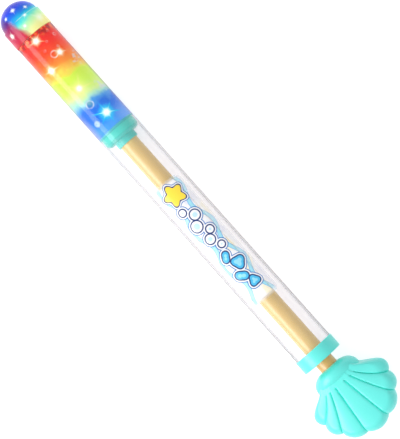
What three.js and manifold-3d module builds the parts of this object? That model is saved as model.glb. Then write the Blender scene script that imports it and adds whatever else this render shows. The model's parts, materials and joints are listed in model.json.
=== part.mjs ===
// A push-pull water squirter. A plunger with a scallop-shell handle slides in a clear tube, draws water in
// through the nose and throws it out again. The front third of the tube is a double-walled light chamber.
// Millimetres. The tube's axis lies along X, the nose points to -X, the shell's broad face to +Z,
// and the object lies on the plane z = 0. Stations are distances along the axis behind the nose tip.
import * as THREE from "three";
import { mergeVertices } from "three/addons/utils/BufferGeometryUtils.js";
import Module from "manifold-3d";

const wasm = await Module();
wasm.setup();

// Facets round the axis, for wide, middling and small round pieces
const wideSides = 40;
const ringSides = 32;
const rodSides = 28;
const plugSides = 24;
const smallSides = 10;

// Clearances
const seatGap = 0.3;
const capGap = 0.2;
const filmGap = 0.1;
const rodGap = 0.35;
const sealGap = 0.1;
const washerGap = 0.5;
const discGap = 0.6;
const caseGap = 0.5;
const cellGap = 0.325;
const cutMargin = 1;

// Tube
const tubeRadius = 18;
const tubeWall = 1.2;
const tubeLength = 356.3;
const tubeBore = tubeRadius - tubeWall;

// Nose: a dome on a slightly wider skirt, with a flat landing round the nozzle
const domeLength = 15.7;
const noseWall = 1.6;
const skirtProud = 0.5;
const skirtStep = 1.1;
const skirtLength = 17.3;
const tipLandingWidth = 1.7;
const nozzleTipRadius = 2.2;
const domeSteps = 6;
const domeInsideSteps = 4;
const noseLength = domeLength + skirtLength;
const skirtRadius = tubeRadius + skirtProud;
const skirtBore = skirtRadius - noseWall;
const domeRadius = skirtRadius - skirtStep;
const tipHoleRadius = nozzleTipRadius + seatGap;
const tipLandingRadius = tipHoleRadius + tipLandingWidth;
const tipAngle = Math.asin(tipLandingRadius / domeRadius);
const domeReach = domeLength / Math.cos(tipAngle);
const innerReach = domeReach - noseWall;
const innerRadius = domeRadius - noseWall;

// Nozzle tube, from the plug to the tip
const nozzleRadius = 3.5;
const nozzleBore = 2;
const orificeRadius = 1;
const orificeLength = 2.3;
const nozzleFlangeRadius = 5.5;
const nozzleFlange = 1.2;

// Light chamber: a coloured sleeve against the tube, a clear water liner, and in the gap between them
// the lamps with their lead under them
const sleeveWall = 0.8;
const linerWall = 0.8;
const chamberLength = 103.5;
const plugDisc = 2.4;
const plugSpigot = 3.8;
const gasketThickness = 0.7;
const gasketWidth = 1.4;
const ringFlange = 1.4;
const ringSpigot = 3.3;
const leadRadius = 0.25;
const leadSlot = 1.6;
const leadTail = 1.6;
const leadRise = 1.4;
const lampRadius = 1.3;
const lampThickness = 1.3;
const domeLampExtra = 0.35;
const sleeveRadius = tubeBore - seatGap;
const sleeveBore = sleeveRadius - sleeveWall;
const linerRadius = sleeveBore - lampThickness - 2 * leadRadius - 3 * seatGap;
const spigotRadius = sleeveBore - seatGap;
const spigotBore = linerRadius + seatGap;

// Light unit round the nozzle tube
const caseWall = 0.9;
const caseFrontWall = 1;
const caseHubWall = 0.75;
const caseEndRoom = 0.5;
const contactThickness = 0.3;
const cellThickness = 3.6;
const cellCount = 3;
const boardThickness = 1;
const chipSize = 4;
const chipThickness = 1.2;
const switchRadius = 1.6;
const switchLength = 5;

// Piston
const sealLength = 6.9;
const sealEdge = 0.35;
const recessRadius = 7;
const recessDepth = 3.4;
const washerThickness = 0.9;
const discThickness = 2;
const discBevel = 1.4;
const hubWall = 1.3;
const hubLength = 5.8;
const hubFloor = 2.6;
const screwRadius = 1.5;
const screwHeadRadius = 3;
const screwHead = 1.5;
const screwGrip = 10.4;

// Rod
const rodRadius = 8.25;
const rodWall = 1.5;
const rodPlugLength = 14;
const rodInHandle = 20;
const rodBore = rodRadius - rodWall;

// End cap and the bush inside it
const capWall = 0.7;
const capLength = 13.6;
const capRearWall = 2.2;
const capEdge = 0.8;
const capHoleExtra = 0.15;
const bushLength = 8.6;
const parkedGap = 7.8;

// Printed film on the tube
const filmStart = 197;
const filmLength = 127;
const filmThickness = 0.2;
const filmFacets = [-4, 6];

// Handle: a bowl-shaped collar and a fan of seven lobes, in two shells joined on the plane through the axis.
// Handle places are (u, v): u behind the collar's front, v across, and w above the joint.
const collarLength = 14.2;
const collarHalfWidth = 21.9;
const collarHalfHeight = 18.9;
const collarSteps = 5;
const fanRootU = 9;
const fanRootHalfWidth = 17.5;
const lobeTipU = 66;
const notches = [
  [12.5, 20.6],
  [34.4, 35],
  [48.9, 28],
  [60.9, 11.2],
];
// Each side lobe's rise beyond its chord, how far its crest leans to its second notch, and how square it is
const sideLobes = [
  { rise: 8, lean: 2.4, squareness: 0.5 },
  { rise: 4.2, lean: 1, squareness: 0.65 },
  { rise: 4.6, lean: 1, squareness: 0.65 },
];
const tipSquareness = 0.7;
const fanPeakHalfHeight = 15.6;
const fanRimDrop = 5.2;
const fanRimPower = 6;
const crownLoss = 0.12;
const grooveWidth = 0.1;
const grooveLoss = 0.14;
const fanSideLoss = 0.45;
const outerGrooveBow = 3;
const stepsPerLobe = 8;
const stepsToRim = 6;
const innerStepsPerLobe = 2;
const innerStepsToRim = 4;
const shellWall = 2.2;
const socketWall = 2;
const handleScrews = [
  [31, 27],
  [31, -27],
  [53, 0],
];
const bossRadius = 3.8;
const handleScrewRadius = 1.3;
const handleScrewHeadRadius = 2.8;
const handleScrewHead = 1.8;
const handleScrewSeat = 6.2;
const handleScrewReach = 6.6;
const pinRadius = 2;
const pinHalfLength = 12.6;
const pinU = 11;

// Stations worked out from the sizes above
const tubeStart = noseLength + seatGap;
const tubeEnd = tubeStart + tubeLength;
const gasketStart = noseLength + seatGap;
const linerStart = gasketStart + gasketThickness + seatGap;
const pistonStart = noseLength + chamberLength;
const ringStart = pistonStart - seatGap - ringFlange;
const linerEnd = ringStart - seatGap;
const capEnd = tubeEnd + seatGap + capRearWall;
const capStart = capEnd - capLength;
const bushStart = tubeEnd - bushLength;
const handleStart = capEnd + parkedGap;
const sealEnd = pistonStart + sealLength;
const hubStart = sealEnd + seatGap;
const discEnd = hubStart + discThickness;
const hubEnd = discEnd + hubLength;
const rodStart = hubStart + hubFloor + seatGap;
const rodEnd = handleStart + rodInHandle;
const totalLength = handleStart + lobeTipU;
const cellStack = 2 * contactThickness + cellThickness + 4 * seatGap;
const caseLength = caseFrontWall + cellStack + boardThickness + seatGap + 2 * switchRadius + caseEndRoom;
const caseStart = noseLength - plugDisc - seatGap - caseLength;
const boardStation = caseStart + caseFrontWall + cellStack;
const chipStation = boardStation + boardThickness + seatGap;
const nozzleStart = seatGap;
const nozzleEnd = noseLength + seatGap + nozzleFlange;

// Materials
const plastic = (color, extra = {}) => new THREE.MeshStandardMaterial({ color, roughness: 0.4, ...extra });
const clearPlastic = () => plastic(0xf4f8fb, { roughness: 0.08, transparent: true, opacity: 0.2 });
const noseTint = () => plastic(0x4a8ff0, { roughness: 0.2, transparent: true, opacity: 0.75 });
const sleeveTint = () => plastic(0xf59a50, { roughness: 0.3, transparent: true, opacity: 0.75 });
const teal = () => plastic(0x5ce8d8);
const tealRubber = () => plastic(0x45d2c0, { roughness: 0.55 });
const gold = () => plastic(0xe6c084);
const white = () => plastic(0xf2f2ee);
const redRubber = () => plastic(0xa02820, { roughness: 0.6 });
const steel = () => plastic(0xc8cacc, { roughness: 0.3, metalness: 1 });
const boardGreen = () => plastic(0x1f7a4a);
const blackResin = () => plastic(0x1c1c1e, { roughness: 0.5 });
const lampGlow = () => plastic(0xffffff, { roughness: 0.2, emissive: 0xffffff });
const enamelledCopper = () => plastic(0xd8a070, { roughness: 0.4, metalness: 0.6 });
const printInk = () => plastic(0x6cc4ec, { transparent: true, opacity: 0.6 });

// A closed geometry as a solid that can be cut and joined.
function toSolid(geometry) {
  const bare = geometry.clone();
  bare.deleteAttribute("normal");
  bare.deleteAttribute("uv");
  const merged = mergeVertices(bare, 1e-4);
  const corners = merged.index.array;
  const kept = [];
  for (let i = 0; i < corners.length; i += 3) {
    const [a, b, c] = [corners[i], corners[i + 1], corners[i + 2]];
    if (a !== b && b !== c && c !== a) kept.push(a, b, c);
  }
  const vertProperties = new Float32Array(merged.attributes.position.array);
  const triVerts = new Uint32Array(kept);
  return new wasm.Manifold(new wasm.Mesh({ numProp: 3, vertProperties, triVerts }));
}

// The solid back as a geometry.
function toGeometry(solid) {
  const mesh = solid.getMesh();
  const geometry = new THREE.BufferGeometry();
  geometry.setAttribute("position", new THREE.BufferAttribute(mesh.vertProperties, 3));
  geometry.setIndex(new THREE.BufferAttribute(mesh.triVerts, 1));
  geometry.computeVertexNormals();
  return geometry;
}

function join(first, ...others) {
  return toGeometry(others.reduce((sum, other) => sum.add(toSolid(other)), toSolid(first)));
}

function cut(body, ...tools) {
  return toGeometry(tools.reduce((left, tool) => left.subtract(toSolid(tool)), toSolid(body)));
}

function common(first, second) {
  return toGeometry(toSolid(first).intersect(toSolid(second)));
}

// A body of revolution about X, from a profile of [station, radius] points that closes on itself
// or starts and ends on the axis. One facet lies flat at the bottom.
function turned(profile, sides = wideSides) {
  const points = profile.map(([station, radius]) => new THREE.Vector2(radius, station));
  const onAxis = points[0].x === 0 && points.at(-1).x === 0;
  if (THREE.ShapeUtils.area(points) < 0) points.reverse();
  if (!onAxis) points.push(points[0].clone());
  const geometry = new THREE.LatheGeometry(points, sides);
  geometry.rotateY(Math.PI / sides);
  geometry.rotateZ(-Math.PI / 2);
  return geometry;
}

// A ring or pipe about X between two stations.
function pipe(start, end, bore, radius, sides = wideSides) {
  return turned([[start, bore], [start, radius], [end, radius], [end, bore]], sides);
}

// A round bar about X between two stations.
function bar(start, end, radius, sides = smallSides) {
  return turned([[start, 0], [start, radius], [end, radius], [end, 0]], sides);
}

// A round bar along Z between two heights, at a place (x, y).
function post(x, y, low, high, radius, sides = smallSides) {
  const geometry = new THREE.CylinderGeometry(radius, radius, high - low, sides);
  geometry.rotateX(Math.PI / 2);
  geometry.translate(x, y, (low + high) / 2);
  return geometry;
}

const capBore = tubeRadius + capGap;
const capRadius = capBore + capWall;
const squirter = new THREE.Group();
const axisLine = new THREE.Group();
axisLine.position.set(-totalLength / 2, 0, capRadius * Math.cos(Math.PI / wideSides));
squirter.add(axisLine);

function addPiece(name, geometry, material) {
  const mesh = new THREE.Mesh(geometry, material);
  mesh.name = name;
  axisLine.add(mesh);
  return mesh;
}

// Barrel tube
addPiece("barrel_tube", pipe(tubeStart, tubeEnd, tubeBore, tubeRadius), clearPlastic());

// Nose dome: hollow, with the flat landing and the nozzle's hole at its tip
const ellipsePoints = (reach, radius, fromAngle, steps) =>
  Array.from({ length: steps + 1 }, (_, i) => {
    const angle = fromAngle + ((Math.PI / 2 - fromAngle) * i) / steps;
    return [domeLength - reach * Math.cos(angle), radius * Math.sin(angle)];
  });
const domeOutside = ellipsePoints(domeReach, domeRadius, tipAngle, domeSteps);
const insideAngle = Math.asin(tipHoleRadius / innerRadius);
const domeInside = ellipsePoints(innerReach, innerRadius, insideAngle, domeInsideSteps);
addPiece(
  "nose_dome",
  turned([
    [0, tipHoleRadius],
    ...domeOutside,
    [domeLength + skirtStep / 2, skirtRadius - skirtStep / 4],
    [domeLength + skirtStep, skirtRadius],
    [noseLength, skirtRadius],
    [noseLength, skirtBore],
    [domeLength + skirtStep, skirtBore],
    ...domeInside.reverse(),
  ]),
  noseTint(),
);

// Nozzle tube, with its narrow tip, its shoulder behind the dome's wall and its rear flange
const shoulderStation = domeLength - innerReach * Math.cos(Math.asin(nozzleRadius / innerRadius)) + seatGap;
addPiece(
  "nozzle_tube",
  turned(
    [
      [nozzleStart, orificeRadius],
      [nozzleStart, nozzleTipRadius],
      [shoulderStation, nozzleTipRadius],
      [shoulderStation, nozzleRadius],
      [noseLength + seatGap, nozzleRadius],
      [noseLength + seatGap, nozzleFlangeRadius],
      [nozzleEnd, nozzleFlangeRadius],
      [nozzleEnd, nozzleBore],
      [nozzleStart + orificeLength, nozzleBore],
      [nozzleStart + orificeLength, orificeRadius],
    ],
    plugSides,
  ),
  white(),
);

// Lamps. In the dome they follow its wall, in the skirt and the light chamber they keep one radius.
const lampInset = seatGap + lampThickness / 2;
const domeLampRadius = innerRadius - lampInset - domeLampExtra;
const domeLampReach = innerReach - lampInset - domeLampExtra;
const skirtLampRadius = skirtBore - lampInset;
const chamberLampRadius = sleeveBore - lampInset;
const slotEnd = noseLength + plugSpigot;

// The lamps' distance from the axis at a station.
function lampRadiusAt(station) {
  if (station < domeLength) {
    const reach = (domeLength - station) / domeLampReach;
    return domeLampRadius * Math.sqrt(1 - reach * reach);
  }
  const skirtRun = THREE.MathUtils.clamp((station - domeLength - lampRadius) / (2 * skirtStep), 0, 1);
  const chamberRun = THREE.MathUtils.clamp((station - (noseLength - plugDisc)) / (plugDisc + plugSpigot), 0, 1);
  const inSkirt = THREE.MathUtils.lerp(domeLampRadius, skirtLampRadius, skirtRun);
  return THREE.MathUtils.lerp(inSkirt, chamberLampRadius, chamberRun);
}

// A point at a station, an angle from +Z towards +Y in degrees, and a depth inside the lamps' surface.
function lampPoint(station, degrees, depth) {
  const radius = lampRadiusAt(station);
  const slope = station < domeLength ? Math.atan2(domeLength - station, radius) : 0;
  const along = station + depth * Math.sin(slope);
  const across = radius - depth * Math.cos(slope);
  const angle = THREE.MathUtils.degToRad(degrees);
  return new THREE.Vector3(along, across * Math.sin(angle), across * Math.cos(angle));
}

// Lamps as [share of the nose's or the chamber's length, degrees], each string in the order in which
// its lead reaches them
const noseLamps = [
  [0.77, 85],
  [0.727, 13],
  [0.685, -45],
  [0.594, -180],
  [0.509, -321],
  [0.412, -500],
  [0.345, -650],
  [0.258, -747],
  [0.212, -1061],
].map(([share, degrees]) => [noseLength * share, degrees]);
const chamberLamps = [
  [0.062, -713.5],
  [0.155, -876],
  [0.251, -1038],
  [0.319, -1102],
  [0.435, -1270],
  [0.575, -1431],
  [0.715, -1600],
  [0.86, -1776],
].map(([share, degrees]) => [noseLength + chamberLength * share, degrees]);
const leadDepth = lampThickness / 2 + seatGap + leadRadius;
const degreesPerStep = 15;

function lampBody(name, [station, degrees]) {
  const geometry = new THREE.CylinderGeometry(lampRadius, lampRadius, lampThickness, smallSides);
  const lamp = addPiece(name, geometry, lampGlow());
  const centre = lampPoint(station, degrees, 0);
  const inner = lampPoint(station, degrees, 1);
  lamp.position.copy(centre);
  lamp.quaternion.setFromUnitVectors(new THREE.Vector3(0, 1, 0), centre.clone().sub(inner).normalize());
}

// A lead that runs in even turns past the lamps, after a short start given as [station, degrees, radius].
function leadBody(name, start, lamps) {
  const points = start.map(([station, degrees, radius]) => {
    const angle = THREE.MathUtils.degToRad(degrees);
    return new THREE.Vector3(station, radius * Math.sin(angle), radius * Math.cos(angle));
  });
  const route = [start.at(-1), ...lamps];
  for (let i = 1; i < route.length; i++) {
    const [from, to] = [route[i - 1], route[i]];
    const steps = Math.max(2, Math.round(Math.abs(to[1] - from[1]) / degreesPerStep));
    for (let k = 1; k <= steps; k++) {
      const share = k / steps;
      const station = THREE.MathUtils.lerp(from[0], to[0], share);
      points.push(lampPoint(station, THREE.MathUtils.lerp(from[1], to[1], share), leadDepth));
    }
  }
  const section = new THREE.Shape();
  section.absarc(0, 0, leadRadius, 0, 2 * Math.PI);
  const path = new THREE.CatmullRomCurve3(points, false, "centripetal");
  const options = { steps: points.length - 1, curveSegments: 2, extrudePath: path, bevelEnabled: false };
  addPiece(name, new THREE.ExtrudeGeometry(section, options), enamelledCopper());
}

// Each lead leaves the light unit through a notch in the case. The chamber's lead then turns to its slot
// in the nose plug on a quarter of an ellipse, so that it enters the slot along the axis.
const leadExit = chipStation + leadRise;
const noseNotch = 144;
const chamberNotch = -640;
const chamberSlot = chamberLamps[0][1];
const approachSteps = 5;
const outsideCase = skirtLampRadius - leadDepth;
const caseRadius = outsideCase - leadRadius - caseGap;
const caseBore = caseRadius - caseWall;
const leadStart = (degrees) => [
  [leadExit, degrees, caseBore - leadTail],
  [leadExit, degrees, (caseBore - leadTail + outsideCase) / 2],
  [leadExit, degrees, outsideCase],
];
const approach = Array.from({ length: approachSteps }, (_, i) => {
  const turn = (((i + 1) / approachSteps) * Math.PI) / 2;
  const station = THREE.MathUtils.lerp(noseLength - plugDisc, leadExit, Math.cos(turn));
  return [station, THREE.MathUtils.lerp(chamberNotch, chamberSlot, Math.sin(turn)), outsideCase];
});
leadBody("nose_lead", leadStart(noseNotch), noseLamps);
leadBody("chamber_lead", [...leadStart(chamberNotch), ...approach], chamberLamps);
noseLamps.forEach((lamp, i) => lampBody(`nose_lamp_${i + 1}`, lamp));
chamberLamps.forEach((lamp, i) => lampBody(`chamber_lamp_${i + 1}`, lamp));

// A block that cuts a slot at an angle round the axis, from one radius outwards.
function slotTool(start, end, inner, outer, width, degrees) {
  const geometry = new THREE.BoxGeometry(end - start, width, outer - inner);
  geometry.translate((start + end) / 2, 0, (inner + outer) / 2);
  geometry.rotateX(-THREE.MathUtils.degToRad(degrees));
  return geometry;
}

// Nose plug: a disc in the skirt and a spigot between liner and sleeve, slotted for the lead
addPiece(
  "nose_plug",
  cut(
    turned([
      [noseLength - plugDisc, nozzleRadius + seatGap],
      [noseLength - plugDisc, skirtBore - seatGap],
      [noseLength, skirtBore - seatGap],
      [noseLength, spigotRadius],
      [slotEnd, spigotRadius],
      [slotEnd, spigotBore],
      [noseLength, spigotBore],
      [noseLength, nozzleRadius + seatGap],
    ]),
    slotTool(
      noseLength - plugDisc - cutMargin,
      slotEnd + cutMargin,
      spigotBore - seatGap,
      skirtRadius,
      leadSlot,
      chamberSlot,
    ),
  ),
  white(),
);
const gasketBore = linerRadius - gasketWidth;
addPiece(
  "chamber_gasket",
  pipe(gasketStart, gasketStart + gasketThickness, gasketBore, linerRadius),
  redRubber(),
);
addPiece("water_liner", pipe(linerStart, linerEnd, linerRadius - linerWall, linerRadius), clearPlastic());
addPiece("light_sleeve", pipe(tubeStart, linerEnd, sleeveBore, sleeveRadius), sleeveTint());
addPiece(
  "chamber_ring",
  turned([
    [ringStart - ringSpigot, spigotBore],
    [ringStart - ringSpigot, spigotRadius],
    [ringStart, spigotRadius],
    [ringStart, sleeveRadius],
    [ringStart + ringFlange, sleeveRadius],
    [ringStart + ringFlange, linerRadius - linerWall],
    [ringStart, linerRadius - linerWall],
    [ringStart, spigotBore],
  ]),
  clearPlastic(),
);

// Light unit: an annular case with button cells between two contact plates, and the board behind them
const caseHubBore = nozzleRadius + seatGap;
const caseHubRadius = caseHubBore + caseHubWall;
const caseEnd = caseStart + caseLength;
const componentRing = (caseHubRadius + caseBore) / 2;
const cellRadius = (caseBore - caseHubRadius) / 2 - cellGap;
const notchTool = (degrees) =>
  slotTool(
    chipStation,
    caseEnd + cutMargin,
    caseBore - cutMargin,
    caseRadius + cutMargin,
    leadSlot,
    degrees,
  );
addPiece(
  "light_case",
  cut(
    turned(
      [
        [caseStart, caseHubBore],
        [caseStart, caseRadius],
        [caseEnd, caseRadius],
        [caseEnd, caseBore],
        [caseStart + caseFrontWall, caseBore],
        [caseStart + caseFrontWall, caseHubRadius],
        [caseEnd, caseHubRadius],
        [caseEnd, caseHubBore],
      ],
      rodSides,
    ),
    notchTool(noseNotch),
    notchTool(chamberNotch),
  ),
  white(),
);
const contactStation = caseStart + caseFrontWall + seatGap;
const cellStation = contactStation + contactThickness + seatGap;
const contact = (start) =>
  pipe(start, start + contactThickness, caseHubRadius + seatGap, caseBore - seatGap, ringSides);
addPiece("front_contact", contact(contactStation), steel());
addPiece("rear_contact", contact(cellStation + cellThickness + seatGap), steel());
for (let i = 0; i < cellCount; i++) {
  const cell = addPiece(`button_cell_${i + 1}`, bar(0, cellThickness, cellRadius), steel());
  const angle = (i * 2 * Math.PI) / cellCount;
  cell.position.set(cellStation, componentRing * Math.sin(angle), componentRing * Math.cos(angle));
}
addPiece(
  "driver_board",
  pipe(boardStation, boardStation + boardThickness, caseHubRadius + seatGap, caseBore - seatGap, ringSides),
  boardGreen(),
);
const chip = addPiece("driver_chip", new THREE.BoxGeometry(chipThickness, chipSize, chipSize), blackResin());
chip.position.set(chipStation + chipThickness / 2, 0, componentRing);
const shakeSwitch = addPiece(
  "shake_switch",
  new THREE.CylinderGeometry(switchRadius, switchRadius, switchLength, smallSides),
  steel(),
);
shakeSwitch.position.set(chipStation + switchRadius, 0, -componentRing);

// Printed film on the tube, as wide as a number of its facets
const filmBore = tubeRadius + filmGap;
const filmCorners = [];
for (let facet = filmFacets[0]; facet <= filmFacets[1]; facet++) {
  const angle = ((facet + 0.5) * 2 * Math.PI) / wideSides;
  filmCorners.push(new THREE.Vector2(Math.sin(angle), Math.cos(angle)));
}
const filmShape = new THREE.Shape([
  ...filmCorners.map((corner) => corner.clone().multiplyScalar(filmBore)),
  ...filmCorners.toReversed().map((corner) => corner.clone().multiplyScalar(filmBore + filmThickness)),
]);
const film = new THREE.ExtrudeGeometry(filmShape, { depth: filmLength, bevelEnabled: false });
film.rotateY(Math.PI / 2);
film.rotateX(Math.PI / 2);
addPiece("printed_film", film, printInk()).position.x = filmStart;

// End cap, pushed over the tube, and the bush that guides the rod
const bushBore = rodRadius + rodGap;
const capHole = bushBore + capHoleExtra;
addPiece(
  "end_cap",
  turned([
    [capStart, capBore],
    [capStart, capRadius - capEdge / 2],
    [capStart + capEdge / 2, capRadius],
    [capEnd - capEdge, capRadius],
    [capEnd, capRadius - capEdge],
    [capEnd, capHole],
    [capEnd - capRearWall, capHole],
    [capEnd - capRearWall, capBore],
  ]),
  teal(),
);
addPiece("rod_bush", pipe(bushStart, tubeEnd, bushBore, tubeBore - seatGap), white());

// Piston: a rubber cup, the disc and hub behind it, and the screw and washer in front
const sealRadius = tubeBore - sealGap;
const screwHole = screwRadius + seatGap;
addPiece(
  "piston_seal",
  turned([
    [pistonStart, recessRadius],
    [pistonStart, sealRadius - sealEdge],
    [pistonStart + sealEdge, sealRadius],
    [sealEnd - sealEdge, sealRadius],
    [sealEnd, sealRadius - sealEdge],
    [sealEnd, screwHole],
    [pistonStart + recessDepth, screwHole],
    [pistonStart + recessDepth, recessRadius],
  ]),
  tealRubber(),
);
const discRadius = tubeBore - discGap;
const socketBore = rodRadius + seatGap;
const hubRadius = socketBore + hubWall;
addPiece(
  "piston_hub",
  turned([
    [hubStart, screwHole],
    [hubStart, discRadius],
    [discEnd - discBevel, discRadius],
    [discEnd, discRadius - discBevel],
    [discEnd, hubRadius],
    [hubEnd, hubRadius],
    [hubEnd, socketBore],
    [hubStart + hubFloor, socketBore],
    [hubStart + hubFloor, screwHole],
  ]),
  teal(),
);
const washerEnd = pistonStart + recessDepth - seatGap;
const headEnd = washerEnd - washerThickness - seatGap;
addPiece(
  "piston_washer",
  pipe(washerEnd - washerThickness, washerEnd, screwHole, recessRadius - washerGap, plugSides),
  steel(),
);
addPiece(
  "piston_screw",
  turned(
    [
      [headEnd - screwHead, 0],
      [headEnd - screwHead, screwHeadRadius],
      [headEnd, screwHeadRadius],
      [headEnd, screwRadius],
      [rodStart + screwGrip, screwRadius],
      [rodStart + screwGrip, 0],
    ],
    smallSides,
  ),
  steel(),
);

// Rod: a tube with a plug in each end, cross-drilled for the handle's pin
const pinStation = handleStart + pinU;
const pinHole = (reach) => post(pinStation, 0, -reach, reach, pinRadius + seatGap);
addPiece(
  "plunger_rod",
  cut(pipe(rodStart, rodEnd, rodBore, rodRadius, rodSides), pinHole(rodRadius + cutMargin)),
  gold(),
);
const rodPlugRadius = rodBore - seatGap;
addPiece(
  "rod_front_plug",
  pipe(rodStart, rodStart + rodPlugLength, screwHole, rodPlugRadius, plugSides),
  white(),
);
addPiece(
  "rod_rear_plug",
  cut(bar(rodEnd - rodPlugLength, rodEnd, rodPlugRadius, plugSides), pinHole(rodRadius)),
  white(),
);
addPiece("handle_pin", post(pinStation, 0, -pinHalfLength, pinHalfLength, pinRadius), steel());

// Lobes from one side to the other. The middle one lies across the axis, and the rest mirror the first ones.
const lastNotch = notches.at(-1);
const middleLobe = { rise: lobeTipU - lastNotch[0], lean: 1, squareness: tipSquareness };
const sideCount = sideLobes.length;
const lobeCount = 2 * sideCount + 1;

// A place on the outline, at a lobe and a share across it, moved inwards.
function rimPoint(lobe, share, inset) {
  if (lobe > sideCount) {
    const twin = rimPoint(lobeCount - 1 - lobe, 1 - share, inset);
    return new THREE.Vector2(twin.x, -twin.y);
  }
  const { rise, lean, squareness } = lobe === sideCount ? middleLobe : sideLobes[lobe];
  const from = new THREE.Vector2(...notches[lobe]);
  const to = lobe === sideCount ? new THREE.Vector2(from.x, -from.y) : new THREE.Vector2(...notches[lobe + 1]);
  const chord = to.clone().sub(from);
  const outward = new THREE.Vector2(-chord.y, chord.x).normalize();
  const swell = Math.max(0, Math.sin(Math.PI * share ** lean)) ** squareness;
  return from.addScaledVector(chord, share).addScaledVector(outward, rise * swell - inset);
}

// The fan's half height at a share of the way from its root to its rim and a share across a lobe.
function fanHalfHeight(reach, share, width, inset) {
  const body = fanPeakHalfHeight - fanRimDrop * reach * reach;
  const rim = Math.sqrt(1 - reach ** fanRimPower);
  const aside = Math.abs(2 * share - 1);
  const groove = Math.max(0, 1 - (1 - aside) / grooveWidth);
  const relief = 1 - crownLoss * aside ** 3 - grooveLoss * groove;
  const sides = Math.sqrt(1 - fanSideLoss * width * width);
  return Math.max(0, body * sides * relief - inset) * rim;
}

// A solid fan between its own surface, moved inwards, and its mirror image below the joint.
function fanSolid(inset, lobeSteps, rimSteps) {
  const columns = lobeCount * lobeSteps;
  const positions = [];
  for (const side of [1, -1]) {
    for (let i = 0; i <= columns; i++) {
      const lobe = Math.min(lobeCount - 1, Math.floor(i / lobeSteps));
      const share = (1 - Math.cos(Math.PI * (i / lobeSteps - lobe))) / 2;
      const width = 1 - (2 * i) / columns;
      const rim = rimPoint(lobe, share, inset);
      const rootV = fanRootHalfWidth * width;
      for (let k = 0; k <= rimSteps; k++) {
        const reach = Math.sin(((k / rimSteps) * Math.PI) / 2);
        const bow = outerGrooveBow * width * Math.abs(width) * 4 * reach * (1 - reach);
        const u = THREE.MathUtils.lerp(fanRootU, rim.x, reach);
        const v = THREE.MathUtils.lerp(rootV, rim.y, reach) - bow;
        positions.push(u, v, side * (k === rimSteps ? 0 : fanHalfHeight(reach, share, width, inset)));
      }
    }
  }
  const rowLength = rimSteps + 1;
  const sheet = (columns + 1) * rowLength;
  const index = [];
  const quad = (a, b, c, d) => index.push(a, b, c, a, c, d);
  for (let i = 0; i < columns; i++) {
    for (let k = 0; k < rimSteps; k++) {
      const a = i * rowLength + k;
      const b = a + rowLength;
      quad(a, b, b + 1, a + 1);
      quad(sheet + a, sheet + a + 1, sheet + b + 1, sheet + b);
    }
    const root = i * rowLength;
    quad(root, sheet + root, sheet + root + rowLength, root + rowLength);
  }
  for (let k = 0; k < rimSteps; k++) {
    const last = columns * rowLength + k;
    quad(k, k + 1, sheet + k + 1, sheet + k);
    quad(last, sheet + last, sheet + last + 1, last + 1);
  }
  const geometry = new THREE.BufferGeometry();
  geometry.setAttribute("position", new THREE.Float32BufferAttribute(positions, 3));
  geometry.setIndex(index);
  return geometry;
}

// The collar: a bowl, flattened in height, from the rod's hole to its rear rim.
function collarSolid(inset) {
  const front = inset;
  const bowl = [];
  for (let i = 0; i <= collarSteps; i++) {
    const angle = ((i / collarSteps) * Math.PI) / 2;
    const opening = rodRadius + (collarHalfWidth - inset - rodRadius) * Math.sin(angle);
    bowl.push([front + (collarLength - front) * (1 - Math.cos(angle)), opening]);
  }
  const geometry = turned([[front, 0], ...bowl, [collarLength, 0]], rodSides);
  geometry.scale(1, 1, (collarHalfHeight - inset) / (collarHalfWidth - inset));
  return geometry;
}

// Both shells come from one hollow body with its rod socket, screw bosses and pin bosses.
const socketRadius = socketBore + socketWall;
const fanOutside = fanSolid(0, stepsPerLobe, stepsToRim);
const handleOutside = join(fanOutside, collarSolid(0));
const handleInside = join(fanSolid(shellWall, innerStepsPerLobe, innerStepsToRim), collarSolid(shellWall));
const tall = collarHalfHeight + cutMargin;
const bosses = [
  ...handleScrews.map(([u, v]) => post(u, v, -tall, tall, bossRadius)),
  post(pinU, 0, -tall, tall, pinRadius + socketWall),
  bar(shellWall / 2, rodInHandle + seatGap + socketWall, socketRadius, rodSides),
];
const inner = common(join(...bosses), handleOutside);
const frame = join(cut(handleOutside, handleInside), inner);
const socket = cut(
  frame,
  bar(-cutMargin, rodInHandle + seatGap, socketBore, rodSides),
  post(pinU, 0, -pinHalfLength - seatGap, pinHalfLength + seatGap, pinRadius + seatGap),
);
const wide = 2 * Math.max(collarHalfWidth, ...notches.map(([, v]) => v)) + 4 * sideLobes[0].rise;
const keepBox = (side) => {
  const box = new THREE.BoxGeometry(lobeTipU + 2 * cutMargin, wide, tall);
  return box.translate(lobeTipU / 2, 0, side * (tall / 2 + seatGap / 2));
};
const pilots = handleScrews.map(([u, v]) =>
  post(u, v, 0, handleScrewReach + seatGap, handleScrewRadius + seatGap),
);
const clearances = handleScrews.flatMap(([u, v]) => [
  post(u, v, -tall, 0, handleScrewRadius + seatGap),
  post(u, v, -tall, -handleScrewSeat, handleScrewHeadRadius + seatGap),
]);
const handle = new THREE.Group();
handle.position.x = handleStart;
axisLine.add(handle);
function addToHandle(name, geometry, material) {
  handle.add(addPiece(name, geometry, material));
}
addToHandle("handle_shell_front", cut(common(socket, keepBox(1)), ...pilots), teal());
addToHandle("handle_shell_back", cut(common(socket, keepBox(-1)), ...clearances), teal());
handleScrews.forEach(([u, v], i) => {
  const headTop = -handleScrewSeat - seatGap;
  const shank = post(u, v, headTop - handleScrewHead / 2, handleScrewReach, handleScrewRadius);
  const head = post(u, v, headTop - handleScrewHead, headTop, handleScrewHeadRadius);
  addToHandle(`handle_screw_${i + 1}`, join(shank, head), steel());
});

export default squirter;
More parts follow.
